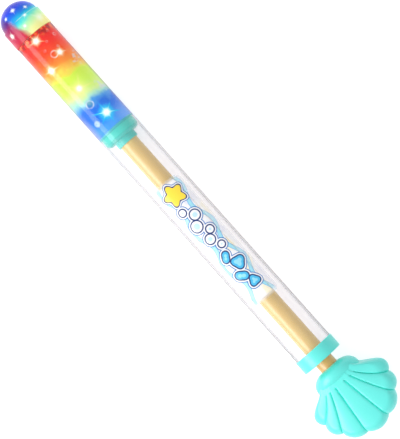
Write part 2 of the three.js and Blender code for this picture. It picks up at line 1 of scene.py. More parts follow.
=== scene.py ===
# A push-pull water squirter with a lighted rainbow nose and a scallop-shell handle, dressed around its frame.
# The nose points to -X, the shell's broad face to +Z, and the tube lies on the floor along X.
import functools
import json
from math import asin, copysign, cos, exp, hypot, pi, radians, sin, sqrt

import bmesh
import bpy
from mathutils import Matrix, Vector


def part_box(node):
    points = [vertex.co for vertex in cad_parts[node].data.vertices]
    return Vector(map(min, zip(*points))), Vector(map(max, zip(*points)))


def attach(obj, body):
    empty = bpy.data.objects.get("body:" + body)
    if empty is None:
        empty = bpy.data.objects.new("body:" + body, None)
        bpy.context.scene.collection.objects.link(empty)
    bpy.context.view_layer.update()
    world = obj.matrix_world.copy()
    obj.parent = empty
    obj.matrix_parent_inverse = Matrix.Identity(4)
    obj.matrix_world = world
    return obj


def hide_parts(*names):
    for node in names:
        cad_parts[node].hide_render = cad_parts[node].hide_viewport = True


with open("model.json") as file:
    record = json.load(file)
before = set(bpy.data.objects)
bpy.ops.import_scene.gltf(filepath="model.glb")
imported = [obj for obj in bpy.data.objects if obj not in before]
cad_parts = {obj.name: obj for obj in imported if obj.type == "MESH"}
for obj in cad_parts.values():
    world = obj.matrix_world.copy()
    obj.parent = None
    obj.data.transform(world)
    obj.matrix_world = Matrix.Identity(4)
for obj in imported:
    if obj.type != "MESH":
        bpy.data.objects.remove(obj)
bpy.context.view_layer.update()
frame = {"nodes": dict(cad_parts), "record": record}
MM = 0.001

# Camera
# The object is photographed from nearly straight above, from far away, a little towards the handle's end
# and a little to the +Y side. The tube runs down to the right across the picture.
camera_height, camera_along = 1.9, 0.1
camera_lean = radians(12)
picture_angle = radians(48.26)
picture_centre, picture_span = (0.00547, 0.00124), 0.363
sensor = 36.0
low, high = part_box("end_cap")
axis_height = (low.z + high.z) / 2


def new_object(name, data):
    thing = bpy.data.objects.new(name, data)
    bpy.context.scene.collection.objects.link(thing)
    return thing


camera_data = bpy.data.cameras.new("camera")
camera = new_object("camera", camera_data)
bpy.context.scene.camera = camera
stand_y, stand_up = camera_height * sin(camera_lean), camera_height * cos(camera_lean)
stand = Vector((camera_along, stand_y, axis_height + stand_up))
aim = Vector((*picture_centre, axis_height))
back = (stand - aim).normalized()
along_tube = (Vector((1, 0, 0)) - back * back.x).normalized()
across_tube = back.cross(along_tube)
right = along_tube * cos(picture_angle) + across_tube * sin(picture_angle)
up = across_tube * cos(picture_angle) - along_tube * sin(picture_angle)
camera.matrix_world = Matrix((right, up, back)).transposed().to_4x4()
camera.location = stand
camera_data.sensor_width = sensor
camera_data.lens = sensor * (stand - aim).length / picture_span

# Barrel tube
# A clear extruded plastic tube, open at both ends. It is clear seen square on, and its rim and its edges show
# as thin grey lines of painted shade. It is the part that everything else is pushed into or onto.
BODY_OF = {node: body for body, nodes in frame["record"]["behaviour"]["bodies"].items() for node in nodes}
tip_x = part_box("nose_dome")[0].x
tube_wall, tube_rim = 1.2, 0.3


def station_of(x):
    """How far behind the nose tip a place is, in millimetres."""
    return (x - tip_x) / MM


def ends_of(node):
    low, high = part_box(node)
    return station_of(low.x), station_of(high.x)


def radius_of(node):
    """The largest radius that stays inside a turned node's facets, in millimetres."""
    low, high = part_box(node)
    return (high.y - low.y) / 2 / MM


def filleted(profile, steps=5, side_share=0.45):
    """The corners of a closed profile of (station, radius, fillet) as arcs within a share of their sides."""
    points = []
    for i, (station, radius, fillet) in enumerate(profile):
        here = Vector((station, radius))
        before = Vector(profile[i - 1][:2]) - here
        after = Vector(profile[(i + 1) % len(profile)][:2]) - here
        reach = min(fillet, before.length * side_share, after.length * side_share)
        if reach <= 0 or radius == 0:
            points.append((station, radius))
            continue
        start, end = here + before.normalized() * reach, here + after.normalized() * reach
        for k in range(steps + 1):
            point = start.lerp(here, k / steps).lerp(here.lerp(end, k / steps), k / steps)
            points.append((point.x, point.y))
    return points


def shaded_smooth(mesh, smooth_to=35):
    mesh.polygons.foreach_set("use_smooth", [True] * len(mesh.polygons))
    mesh.set_sharp_from_angle(angle=radians(smooth_to))


def mesh_object(name, points, faces):
    """A closed mesh from points in metres, with its faces turned outwards."""
    shape = bmesh.new()
    corners = [shape.verts.new(point) for point in points]
    for face in faces:
        shape.faces.new([corners[i] for i in face])
    bmesh.ops.recalc_face_normals(shape, faces=shape.faces)
    mesh = bpy.data.meshes.new(name)
    shape.to_mesh(mesh)
    shape.free()
    shaded_smooth(mesh)
    return new_object(name, mesh)


def turned(name, profile, sides=96, place=None):
    """A body turned about the tube's axis, or about another X axis, from a closed profile in millimetres."""
    points, rings, faces = [], [], []
    for station, radius in profile:
        if radius == 0:
            rings.append([len(points)] * sides)
            points.append(Vector((station, 0, 0)) * MM)
            continue
        rings.append(range(len(points), len(points) + sides))
        for k in range(sides):
            turn = 2 * pi * k / sides
            points.append(Vector((station, radius * sin(turn), radius * cos(turn))) * MM)
    open_ended = profile[0][1] == 0 and profile[-1][1] == 0
    for i in range(len(rings) - 1 if open_ended else len(rings)):
        near, far = rings[i], rings[(i + 1) % len(rings)]
        for k in range(sides):
            n = (k + 1) % sides
            corners = list(dict.fromkeys((near[k], near[n], far[n], far[k])))
            if len(corners) > 2:
                faces.append(corners)
    place = place or Matrix.Translation((tip_x, 0, axis_height))
    return mesh_object(name, [place @ point for point in points], faces)


def dress(piece, material):
    """Gives a piece its material, in every slot that it has."""
    slots = piece.data.materials
    if not slots:
        slots.append(material)
    for i in range(len(slots)):
        slots[i] = material


def finished(piece, material, node):
    """The piece takes a CAD node's place, moves with its body and has the finish of its material's slot."""
    dress(piece, material)
    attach(piece, BODY_OF[node])
    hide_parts(node)


def turned_piece(node, material, profile, sides=96, place=None, name=None):
    """A turned body with filleted corners that stands for a CAD node."""
    finished(turned(name or node + "_dressed", filleted(profile), sides, place), material, node)


def pipe(node, bore, rim, radius=None):
    """The profile of a plain tube as long as its CAD node, and as wide where no radius is given."""
    start, end = ends_of(node)
    radius = radius or radius_of(node)
    return [(start, bore, rim), (start, radius, rim), (end, radius, rim), (end, bore, rim)]


def colour(*levels):
    """A colour as seen on a screen, 0 to 255, as the shader's own numbers."""
    shares = [level / 255 for level in levels]
    return (*(s / 12.92 if s <= 0.04045 else ((s + 0.055) / 1.055) ** 2.4 for s in shares), 1.0)


class Value:
    """A number, vector or colour inside a shader. Python's operators on it make Math nodes."""

    def __init__(self, socket):
        self.socket, self.tree = socket, socket.id_data

    def __add__(self, other):
        return number("ADD", self, other)

    def __sub__(self, other):
        return number("SUBTRACT", self, other)

    def __rsub__(self, other):
        return number("SUBTRACT", other, self)

    def __mul__(self, other):
        return number("MULTIPLY", self, other)

    def __truediv__(self, other):
        return number("DIVIDE", self, other)

    def __pow__(self, other):
        return number("POWER", self, other)

    def __abs__(self):
        return number("ABSOLUTE", self)


def put(tree, kind, inputs=None, **settings):
    """The outputs of a new shader node whose inputs are set or linked, by name or number."""
    node = tree.nodes.new("ShaderNode" + kind)
    for key, value in settings.items():
        setattr(node, key, value)
    for key, value in (inputs or {}).items():
        if isinstance(value, Value):
            tree.links.new(value.socket, node.inputs[key])
        else:
            node.inputs[key].default_value = value
    return node.outputs


def wired(kind, inputs, output=0, **settings):
    """One output of a new node, in the tree that its inputs come from."""
    tree = next(value.tree for value in inputs.values() if isinstance(value, Value))
    return Value(put(tree, kind, inputs, **settings)[output])


def number(operation, *values, clamp=False):
    return wired("Math", dict(enumerate(values)), operation=operation, use_clamp=clamp)


def vector(operation, *values, output=0):
    return wired("VectorMath", dict(enumerate(values)), output, operation=operation)


def noise(place, scale, detail=2.0, output=0):
    return wired("TexNoise", {"Vector": place, "Scale": scale, "Detail": detail}, output)


def spread(value, low, high, to_low=0.0, to_high=1.0, kind="SMOOTHSTEP"):
    """A value taken smoothly from one range to another."""
    inputs = {0: value, 1: low, 2: high, 3: to_low, 4: to_high}
    return wired("MapRange", inputs, interpolation_type=kind)


def blended(share, first, second, mode="MIX"):
    """A mix of two colours."""
    return wired("Mix", {0: share, 6: first, 7: second}, 2, data_type="RGBA", blend_type=mode)


def finish_of(name, sockets):
    """A new material with its shader's fixed numbers set. Gives the material, its tree and the shader."""
    material = bpy.data.materials.new(name)
    material.use_nodes = True
    shader = material.node_tree.nodes["Principled BSDF"]
    for socket, value in sockets.items():
        shader.inputs[socket].default_value = value
    return material, material.node_tree, shader


def feed(node, sockets):
    """Links values that change over the surface to a node's inputs."""
    for socket, value in sockets.items():
        value.tree.links.new(value.socket, node.inputs[socket])


def axis_place(tree):
    """The point on the surface, measured from the tube's axis, in the frame's metres."""
    return vector("SUBTRACT", Value(put(tree, "TexCoord")["Object"]), (0, 0, axis_height))


def new_group(name, inputs, outputs):
    """A node group with named sockets. Gives the group, its inputs' values and the node of its outputs."""
    group = bpy.data.node_groups.new(name, "ShaderNodeTree")
    for socket, value in inputs.items():
        size = len(value) if isinstance(value, tuple) else 1
        kind = {1: "NodeSocketFloat", 3: "NodeSocketVector", 4: "NodeSocketColor"}[size]
        group.interface.new_socket(socket, in_out="INPUT", socket_type=kind).default_value = value
    for socket in outputs:
        kind = "NodeSocketColor" if socket == "Colour" else "NodeSocketFloat"
        group.interface.new_socket(socket, in_out="OUTPUT", socket_type=kind)
    given = group.nodes.new("NodeGroupInput").outputs
    return group, {socket: Value(given[socket]) for socket in inputs}, group.nodes.new("NodeGroupOutput")


def use_group(group, inputs):
    """The outputs, in order, of a group that is set to work on some values."""
    tree = next(value.tree for value in inputs.values() if isinstance(value, Value))
    return [Value(socket) for socket in put(tree, "Group", inputs, node_tree=group)]


# The skin of moulded plastic: a faint drift of tone, a fine matt grain and a few handling marks
moulded, given, made = new_group("moulded_skin", {
    "Place": (0, 0, 0), "Colour": (1, 1, 1, 1), "Drift": 0.04, "Grain": 900.0,
    "Roughness": 0.4, "Marks": 0.1,
}, ["Colour", "Roughness", "Height"])
stretched = vector("MULTIPLY", given["Place"], (0.12, 1, 1))
marks = spread(noise(stretched, 420.0, 4.0), 0.62, 0.78) * given["Marks"]
drift = (noise(given["Place"], 45.0, 3.0) - 0.5) * given["Drift"]
toned = {"Value": drift + 1.0, "Saturation": 1.0 - drift, "Color": given["Colour"]}
feed(made, {
    "Colour": wired("HueSaturation", toned),
    "Roughness": number("ADD", given["Roughness"] + marks, drift * 0.6, clamp=True),
    "Height": noise(given["Place"], given["Grain"]) * 0.3 - marks * 0.8,
})


def skin_of(place, base, roughness, marks=0.1, drift=0.04, grain=900.0):
    """The moulded skin's colour, roughness and height at a place."""
    return use_group(moulded, {
        "Place": place, "Colour": base, "Drift": drift, "Grain": grain,
        "Roughness": roughness, "Marks": marks,
    })


# Clear plastic mirrors and bends what is seen through it, and lets the light straight in
clear_plastic, tree, shader = finish_of("clear_plastic", {"IOR": 1.45, "Transmission Weight": 1.0})
# Painted shade: towards its silhouette the clear plastic turns grey, and at its outer edges a dark matt
# shader is mixed in, which draws the thin grey edge lines
facing = Value(put(tree, "LayerWeight", {"Blend": 0.5})["Facing"])
feed(shader, {
    "Base Color": blended(spread(facing, 0.45, 0.85), colour(252, 252, 253), colour(170, 168, 174)),
    "Roughness": skin_of(axis_place(tree), (1, 1, 1, 1), 0.03, 0.05, 0.2)[1],
})
path = put(tree, "LightPath")
passing = number("MAXIMUM", Value(path["Is Shadow Ray"]), Value(path["Is Diffuse Ray"]))
open_way = Value(put(tree, "BsdfTransparent", {"Color": (0.96, 0.96, 0.97, 1)})[0])
painted_edge_shade = Value(put(tree, "BsdfDiffuse", {"Color": (0.2, 0.19, 0.22, 1)})[0])
outer_side = 1.0 - Value(put(tree, "NewGeometry")["Backfacing"])
painted_edge_mask = spread(facing, 0.72, 0.96, 0.0, 0.75) * outer_side
seen = wired("MixShader", {0: painted_edge_mask, 1: Value(shader.outputs[0]), 2: painted_edge_shade})
feed(tree.nodes["Material Output"], {
    "Surface": wired("MixShader", {0: passing, 1: seen, 2: open_way}),
})

tube_radius = radius_of("barrel_tube")
tube_bore = tube_radius - tube_wall
turned_piece("barrel_tube", clear_plastic, pipe("barrel_tube", tube_bore, tube_rim), 128, name="barrel")

# Nozzle tube
# A narrow white tube that carries the water from the chamber through the light unit to the tip. It is
# moulded with a fine jet hole at its front and a flange behind, which seats on the nose plug.
start, end = ends_of("nozzle_tube")
flange, flange_radius = end - 1.2, radius_of("nozzle_tube")
nozzle_radius, tip_radius, bore = 3.45, 2.18, 2.0
jet_radius, jet_end, shoulder = 1.0, start + 2.3, 1.85


def bumped(height, strength, depth):
    return wired("Bump", {"Strength": strength, "Distance": depth, "Height": height})


def moulded_finish(name, base, roughness, sockets=None, grain=900.0, drift=0.04):
    """A material of moulded plastic or rubber in one colour."""
    material, tree, shader = finish_of(name, {"Roughness": roughness, **(sockets or {})})
    tone, rough, height = skin_of(axis_place(tree), base, roughness, 0.1, drift, grain)
    feed(shader, {"Base Color": tone, "Roughness": rough, "Normal": bumped(height, 0.5, 0.00006)})
    return material


white_plastic = moulded_finish("white_plastic", colour(240, 240, 236), 0.42, {"IOR": 1.49}, drift=0.03)
turned_piece("nozzle_tube", white_plastic, [
    (start, jet_radius, 0.15), (start, tip_radius, 0.2), (shoulder, tip_radius, 0.1),
    (shoulder, nozzle_radius, 0.25), (flange, nozzle_radius, 0.2), (flange, flange_radius, 0.2),
    (end, flange_radius, 0.2), (end, bore, 0.2), (jet_end, bore, 0.3), (jet_end, jet_radius, 0.2),
], 48, name="nozzle")

# Light unit
# A white case round the nozzle tube holds three button cells between two spring steel plates. Behind
# them a round circuit board carries the driver chip and the switch that shaking the toy closes.
steel, tree, shader = finish_of("steel", {"Metallic": 1.0})
tone, rough, _ = skin_of(axis_place(tree), colour(196, 199, 203), 0.26, 0.25, 0.1, 1500.0)
feed(shader, {"Base Color": tone, "Roughness": rough})
board_green = moulded_finish("board_green", colour(30, 120, 72), 0.35, grain=1600.0, drift=0.12)
black_resin = moulded_finish("black_resin", colour(30, 30, 33), 0.5, grain=1800.0, drift=0.1)
cell_step = 0.35
plate_bore = 4.85
for node in ("button_cell_1", "button_cell_2", "button_cell_3"):
    low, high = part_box(node)
    thickness, radius = (high.x - low.x) / MM, radius_of(node)
    turned_piece(node, steel, [
        (0, 0, 0), (0, radius - 2 * cell_step, 0.15), (cell_step, radius - 1.5 * cell_step, 0.1),
        (cell_step, radius, 0.2), (thickness - 0.1, radius, 0.3), (thickness, radius - 0.4, 0.2),
        (thickness, 0, 0),
    ], 48, Matrix.Translation((low.x, (low.y + high.y) / 2, (low.z + high.z) / 2)))
for node, material in (("front_contact", steel), ("rear_contact", steel), ("driver_board", board_green)):
    turned_piece(node, material, pipe(node, plate_bore, 0.08), 72)
dress(frame["nodes"]["light_case"], white_plastic)


def block(low, high):
    """The corners and faces of a box."""
    points = [Vector((x, y, z)) for x in (low.x, high.x) for y in (low.y, high.y) for z in (low.z, high.z)]
    faces = [(0, 1, 3, 2), (4, 6, 7, 5), (0, 4, 5, 1), (2, 3, 7, 6), (0, 2, 6, 4), (1, 5, 7, 3)]
    return points, faces


def settled(piece, smooth_to=35):
    """Keeps what a piece's modifiers make as its own mesh."""
    bpy.context.view_layer.update()
    graph = bpy.context.evaluated_depsgraph_get()
    mesh = bpy.data.meshes.new_from_object(piece.evaluated_get(graph))
    piece.modifiers.clear()
    piece.data = mesh
    shaded_smooth(mesh, smooth_to)
    return piece


chip_low, chip_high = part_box("driver_chip")
leg = 0.35 * MM
chip_side = leg * 1.6
legs_on_a_side = 4
body_low, body_high = chip_low + Vector((leg, chip_side, 0)), chip_high - Vector((0, chip_side, 0))
chip = mesh_object("driver_chip_dressed", *block(body_low, body_high))
edges = chip.modifiers.new("edges", "BEVEL")
edges.width, edges.segments, edges.limit_method = 0.12 * MM, 2, "ANGLE"
finished(settled(chip), black_resin, "driver_chip")
leg_points, leg_faces = [], []
for y in (chip_low.y, chip_high.y - chip_side):
    for k in range(legs_on_a_side):
        z = chip_low.z + (chip_high.z - chip_low.z) * (k + 0.5) / legs_on_a_side
        low = Vector((chip_low.x, y, z - leg / 2))
        points, faces = block(low, low + Vector((leg, chip_side, leg)))
        leg_faces += [[i + len(leg_points) for i in face] for face in faces]
        leg_points += points
legs = mesh_object("driver_chip_legs", leg_points, leg_faces)
dress(legs, steel)
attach(legs, BODY_OF["driver_chip"])

low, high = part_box("shake_switch")
length, radius = (high.y - low.y) / MM, (high.x - low.x) / 2 / MM
end_radius, pin_end = radius * 0.8, radius * 0.35
switch_place = Matrix.Translation(((low.x + high.x) / 2, low.y, (low.z + high.z) / 2))
turned_piece("shake_switch", steel, [
    (0, 0, 0), (0, end_radius, 0.1), (0.5, end_radius, 0.1), (0.5, radius, 0.25),
    (length - 0.4, radius, 0.25), (length - 0.4, pin_end, 0.1), (length, pin_end, 0.05), (length, 0, 0),
], 32, switch_place @ Matrix.Rotation(radians(90), 4, "Z"))

# Lamps and their leads
# Seventeen tiny domed lamps in two strings. Each lamp faces outwards, and its enamelled copper lead
# runs under it, in even turns, from the light unit through a slot in the nose plug.
dome_length = 15.7
lamp_radius, lamp_half = 1.25, 0.62
lamp_white, tree, shader = finish_of("lamp", {
    "Base Color": colour(250, 250, 245), "Roughness": 0.15, "Emission Strength": 1.0,
})
lens = noise(axis_place(tree), 600.0)
feed(shader, {"Emission Color": blended(lens, colour(235, 240, 255), colour(255, 255, 250))})


def lamp_centre(node):
    low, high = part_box(node)
    return (low + high) / 2


for node in [f"nose_lamp_{i}" for i in range(1, 10)] + [f"chamber_lamp_{i}" for i in range(1, 9)]:
    # A lamp faces straight out of the tube, or out of the dome
    centre = lamp_centre(node)
    outward = Vector((0, centre.y, centre.z - axis_height))
    if station_of(centre.x) < dome_length:
        outward = centre - Vector((tip_x + dome_length * MM, 0, axis_height))
    turn = Vector((1, 0, 0)).rotation_difference(outward.normalized()).to_matrix().to_4x4()
    turned_piece(node, lamp_white, [
        (-lamp_half, 0, 0), (-lamp_half, lamp_radius * 0.92, 0.1),
        (-lamp_half * 0.4, lamp_radius * 0.92, 0.05), (-lamp_half * 0.4, lamp_radius * 0.8, 0.05),
        (0, lamp_radius * 0.78, 0.2),
        (lamp_half * 0.7, lamp_radius * 0.6, 0.4), (lamp_half, lamp_radius * 0.2, 0.2), (lamp_half, 0, 0),
    ], 20, Matrix.Translation(centre) @ turn)

lead_copper, tree, shader = finish_of("lead", {"Metallic": 0.6, "Roughness": 0.35})
enamel = noise(axis_place(tree), 700.0)
feed(shader, {"Base Color": blended(enamel, colour(196, 128, 84), colour(228, 172, 122))})
for node in ("nose_lead", "chamber_lead"):
    dress(frame["nodes"][node], lead_copper)

# Nose dome
# A thin dome of tinted clear plastic on a slightly wider skirt, pushed over the light unit and welded to
# the tube. It is blue at the tip, crimson on one side and yellow-green on the other, and the lamps' light is
# painted on it.
nose_wall, skirt_step = 1.6, 1.1
landing_radius, tip_hole = 4.18, 2.5
nose_end, skirt_radius = ends_of("nose_dome")[1], radius_of("nose_dome")
skirt_start, skirt_bore = dome_length + skirt_step, skirt_radius - nose_wall
dome_radius = skirt_radius - skirt_step
step_start, step_end = dome_length + 0.25, dome_length + 0.55
dome_reach = dome_length / cos(asin(landing_radius / dome_radius))


def dome_arc(reach, radius, first_radius, steps):
    """Points on the dome's ellipse, from a radius near the tip to its widest place."""
    start = asin(first_radius / radius)
    turns = [start + (pi / 2 - start) * i / steps for i in range(steps + 1)]
    return [(dome_length - reach * cos(a), radius * sin(a), 0) for a in turns]


# The light that a lamp throws on the plastic over it: a white core with short points, and a soft halo
lamp_glow, given, made = new_group("lamp_glow", {
    "Place": (0, 0, 0), "Centre": (0, 0, 0), "Core": 0.002, "Halo": 0.006,
    "Points": 5.0, "Reach": 0.6, "Turn": 0.0,
}, ["Light", "Halo"])
offset = vector("SUBTRACT", given["Place"], given["Centre"])
distance = vector("LENGTH", offset, output="Value")
radial = vector("MULTIPLY", given["Centre"], (0, 1, 1))
round_way = vector("NORMALIZE", vector("CROSS_PRODUCT", (1, 0, 0), radial))
along = vector("DOT_PRODUCT", offset, (1, 0, 0), output="Value")
bearing = number("ARCTAN2", vector("DOT_PRODUCT", offset, round_way, output="Value"), along)
point_wave = number("COSINE", bearing * given["Points"] + given["Turn"], clamp=True)
uneven = spread(number("COSINE", bearing * 2.0 + given["Turn"] * 2.1), -1.0, 1.0, 0.35, 1.0, kind="LINEAR")
point = point_wave ** 9.0 * uneven
share = distance / given["Core"] / (point * given["Reach"] + 1.0)
halo_share = distance / (given["Halo"] * (point * 0.6 + 0.7))
feed(made, {
    "Light": spread(share, 0.1, 1.9, 1.0, 0.0) ** 1.7,
    "Halo": number("SUBTRACT", 1.0, halo_share, clamp=True) ** 1.3,
})


def joined(operation, values, *more):
    """Several values taken together, two at a time, such as the largest of them."""
    return functools.reduce(lambda first, second: number(operation, first, second, *more), values)


def glow_of(place, string, skin_radius, lamps):
    """The brightest of the lamps' lights and halos at a place, straight over or under each lamp.

    Each lamp is (number, core, halo, points, reach), in millimetres. The skin's radius is given by station.
    """
    glows = []
    for lamp, core, halo, points, reach in lamps:
        centre = lamp_centre(f"{string}_lamp_{lamp}") - Vector((0, 0, axis_height))
        radius = skin_radius(station_of(centre.x)) * MM
        height = sqrt(max(0.0, radius ** 2 - centre.y ** 2))
        glows.append(use_group(lamp_glow, {
            "Place": place, "Centre": Vector((centre.x, centre.y, copysign(height, centre.z))),
            "Core": core * MM, "Halo": halo * MM, "Points": points, "Reach": reach,
            "Turn": 1.7 * station_of(centre.x),
        }))
    return [joined("MAXIMUM", part) for part in zip(*glows)]


def dome_skin(station):
    """The radius of the dome or its skirt at a station, in millimetres."""
    if station > step_end:
        return skirt_radius
    return dome_radius * sqrt(max(0.0, 1 - (max(0.0, dome_length - station) / dome_reach) ** 2))


def ramp(value, first, last, stops):
    """Colours, each at its station in millimetres, picked by a value in millimetres."""
    share = spread(value, first, last, kind="LINEAR")
    picked = put(share.tree, "ValToRGB", {0: share})[0]
    elements = picked.node.color_ramp.elements
    while len(elements) < len(stops):
        elements.new(0.5)
    for element, (station, *levels) in zip(elements, stops):
        element.position = (station - first) / (last - first)
        element.color = colour(*levels)
    return Value(picked)


def stations(place):
    """The station and the place across, in millimetres, of a point measured from the axis."""
    parts = put(place.tree, "SeparateXYZ", {0: place})
    return (Value(parts["X"]) - tip_x) / MM, Value(parts["Y"]) / MM


def dimmed(tone, share):
    return blended(1.0, tone, (share, share, share, 1), "MULTIPLY")


def painted(base, layers):
    """A colour with others laid over it, each (where and how much, then its levels on a screen)."""
    for mask, *levels in layers:
        base = blended(mask, base, colour(*levels))
    return base


nose_tint, tree, shader = finish_of("nose_tint", {
    "IOR": 1.49, "Specular IOR Level": 0.4, "Emission Strength": 1.0,
})
place = axis_place(tree)
station, across = stations(place)
swirl = noise(place, 110.0) - 0.5
side = across / dome_radius + swirl * 0.3
upper = ramp(station + side * spread(station, 12.0, 18.0) * 6.0 + swirl * 5.0, 0, 36, [
    (0, 16, 34, 196), (6, 2, 58, 232), (12, 2, 116, 232), (17, 30, 196, 232), (21, 96, 236, 224),
    (25, 188, 252, 190), (31, 238, 254, 176), (35, 253, 246, 160),
])
lower = ramp(station + swirl * 6.0, 0, 34, [
    (0, 34, 30, 176), (7, 44, 24, 164), (12, 96, 22, 130), (17, 162, 28, 98), (23, 192, 34, 82),
    (29, 206, 42, 78), (33, 204, 40, 52),
])
upper_share = spread(side - (station - 18.0) * 0.022, -0.36, -0.04)
light, halo = glow_of(place, "nose", dome_skin, [
    (1, 0.3, 8.0, 3.0, 0.3), (2, 1.1, 3.6, 4.0, 0.2), (3, 1.8, 4.8, 5.0, 0.3), (4, 1.5, 4.0, 5.0, 0.25),
    (5, 1.1, 3.6, 4.0, 0.2), (6, 1.6, 4.0, 5.0, 0.3), (7, 1.0, 3.2, 4.0, 0.2), (8, 1.1, 3.0, 5.0, 0.2),
    (9, 1.5, 4.2, 4.0, 0.25),
])
# Painted highlight: a pale line along the step between the dome and its skirt, on its +Y half only
step_highlight = spread(abs(station - (step_end + 0.05)), 0.1, 0.7, 0.35, 0.0) * spread(side, -0.2, 0.2)
tone, rough, _ = skin_of(place, blended(upper_share, lower, upper), 0.12, 0.08, 0.08)
# Painted light: the lamps' white stars and pale halos are laid into the colour, and the emission makes the
# whole dome glow at about a fifth of its colour, brighter over each lamp
base = painted(tone, [
    (halo * 0.6, 236, 246, 240), (number("MAXIMUM", light * 0.92, step_highlight), 250, 252, 246),
])
glare = number("MAXIMUM", light, halo * 0.5)
feed(shader, {
    "Base Color": base,
    "Emission Color": blended(glare, dimmed(base, 0.22), (0.5, 0.53, 0.46, 1.0)),
    "Roughness": rough,
    "Alpha": spread(station, 0.0, 33.0, 0.96, 0.93, kind="LINEAR"),
})
turned_piece("nose_dome", nose_tint, [
    (0, tip_hole, 0.2), *dome_arc(dome_reach, dome_radius, landing_radius, 28),
    (step_start, dome_radius, 0.1), (step_end, skirt_radius, 0.35),
    (nose_end, skirt_radius, 0.35), (nose_end, skirt_bore, 0.2), (skirt_start, skirt_bore, 0.3),
    *reversed(dome_arc(dome_reach - nose_wall, dome_radius - nose_wall, tip_hole, 16)),
], 128)

# Nose plug, gasket and water liner
# The white plug closes the tube behind the lamps, a red rubber ring seals the liner on it, and the clear
# liner keeps the water away from the lamps. The plug has a slot for the chamber's lead.
gap = 0.3
start, end = ends_of("nose_plug")
seat, radius, hole = start + 2.4, radius_of("nose_plug"), nozzle_radius + gap
spigot_radius, spigot_bore = 15.35, 13.26
plug = turned("nose_plug_dressed", filleted([
    (start, hole, 0.2), (start, radius, 0.3), (seat, radius, 0.3), (seat, spigot_radius, 0.2),
    (end, spigot_radius, 0.3), (end, spigot_bore, 0.2), (seat, spigot_bore, 0.2), (seat, hole, 0.2),
]))
slot_half, slot_floor, slot_top = 0.8 * MM, 13 * MM, 20 * MM
lead_turn = radians(713.5)
slot_place = Matrix.Translation((0, 0, axis_height)) @ Matrix.Rotation(lead_turn, 4, "X")


def placed_block(name, place, low, high):
    corners, faces = block(Vector(low), Vector(high))
    return mesh_object(name, [place @ corner for corner in corners], faces)


def combined(piece, tool, operation="DIFFERENCE", keep_tool=False):
    """Cuts the tool out of the piece, joins it on, or keeps what both share."""
    change = piece.modifiers.new(operation, "BOOLEAN")
    change.operation, change.solver, change.object = operation, "MANIFOLD", tool
    settled(piece)
    if not keep_tool:
        bpy.data.objects.remove(tool)
    return piece


combined(plug, placed_block(
    "slot_tool", slot_place, (tip_x + (start - 1) * MM, -slot_half, slot_floor),
    (tip_x + (end + 1) * MM, slot_half, slot_top),
))
finished(plug, white_plastic, "nose_plug")

gasket_bore, liner_wall = 11.6, 0.8
red_rubber = moulded_finish("red_rubber", colour(160, 40, 32), 0.6, grain=1200.0, drift=0.1)
turned_piece("chamber_gasket", red_rubber, pipe("chamber_gasket", gasket_bore, 0.3))
liner_bore = radius_of("water_liner") - liner_wall
turned_piece("water_liner", clear_plastic, pipe("water_liner", liner_bore, 0.2))

# Light sleeve
# A coloured film rolled inside the tube, red behind the nose, then orange, yellow-green and blue, with
# printed bubbles. The lamps' light is painted on it as white stars, each with its halo, and as a glow of the
# whole film.
sleeve_radius = tube_bore + 0.03
sleeve_bore = sleeve_radius - 0.8
bubble, given, made = new_group("printed_bubble", {
    "Place": (0, 0, 0), "Centre": (0, 0, 0), "Radius": 0.003,
}, ["Ring", "Inside"])
offset = vector("SUBTRACT", given["Place"], given["Centre"])
share = vector("LENGTH", offset, output="Value") / given["Radius"]
worn = spread(noise(given["Place"], 260.0), 0.36, 0.6, 0.35, 1.0)
feed(made, {
    "Ring": spread(abs(share - 0.86), 0.06, 0.24, 1.0, 0.0) * worn,
    "Inside": spread(share, 0.6, 0.9, 1.0, 0.0),
})


def on_tube(station, degrees, radius):
    """A point at a station and an angle from +Z towards +Y, measured from the axis."""
    turn = radians(degrees)
    return Vector((tip_x + station * MM, radius * MM * sin(turn), radius * MM * cos(turn)))


def bubble_at(place, station, degrees, radius):
    centre = on_tube(station, degrees, sleeve_radius)
    return use_group(bubble, {"Place": place, "Centre": centre, "Radius": radius * MM})


# Each printed bubble is (station, degrees, radius, how dark it is inside)
BUBBLES = [
    (57.5, 20, 3.3, 0.15), (108.3, 0, 3.6, 0.3), (44.0, 64, 1.6, 0.3), (72.5, 60, 1.6, 0.2),
    (76.5, 66, 1.3, 0.2), (45.5, 28, 1.0, 0.2), (50.5, 6, 1.1, 0.2), (38.4, 52, 1.1, 0.1),
    (54.0, 44, 1.0, 0.2), (47.0, 120, 3.0, 0.3), (63.0, 196, 2.6, 0.3), (84.0, 150, 3.4, 0.3),
    (97.0, 250, 2.8, 0.3), (113.0, 170, 3.2, 0.3), (126.0, 118, 2.2, 0.3), (52.0, 262, 2.4, 0.3),
    (129.0, 226, 2.8, 0.3),
]
# Pale printed places: (station, degrees, radius, how ragged, then the colour's levels)
PALE_PLACES = [
    (124.2, -23, 3.6, 0.0, 186, 216, 250), (69.0, 70, 6.0, 1.0, 214, 210, 200),
    (101.5, 68, 6.4, 1.0, 214, 222, 220), (80.0, 262, 4.4, 1.0, 230, 240, 190),
]
rainbow, tree, shader = finish_of("rainbow_sleeve", {"Specular IOR Level": 0.1, "Emission Strength": 1.0})
place = axis_place(tree)
station, across = stations(place)
hues = ramp(station + across * -0.12 + (noise(place, 85.0, 3.0) - 0.5) * 14.0, 26, 142, [
    (33, 222, 14, 2), (40, 252, 18, 2), (47, 254, 36, 8), (54, 254, 74, 20), (61, 254, 112, 28),
    (67, 254, 148, 38), (73, 252, 212, 78), (78, 214, 244, 74), (89, 214, 252, 96), (98, 222, 252, 158),
    (103, 170, 230, 214), (107, 80, 166, 232), (112, 16, 112, 230), (121, 12, 118, 234), (131, 70, 160, 248),
])
mottle = spread(noise(place, 300.0), 0.55, 0.8, 0.0, 0.35)
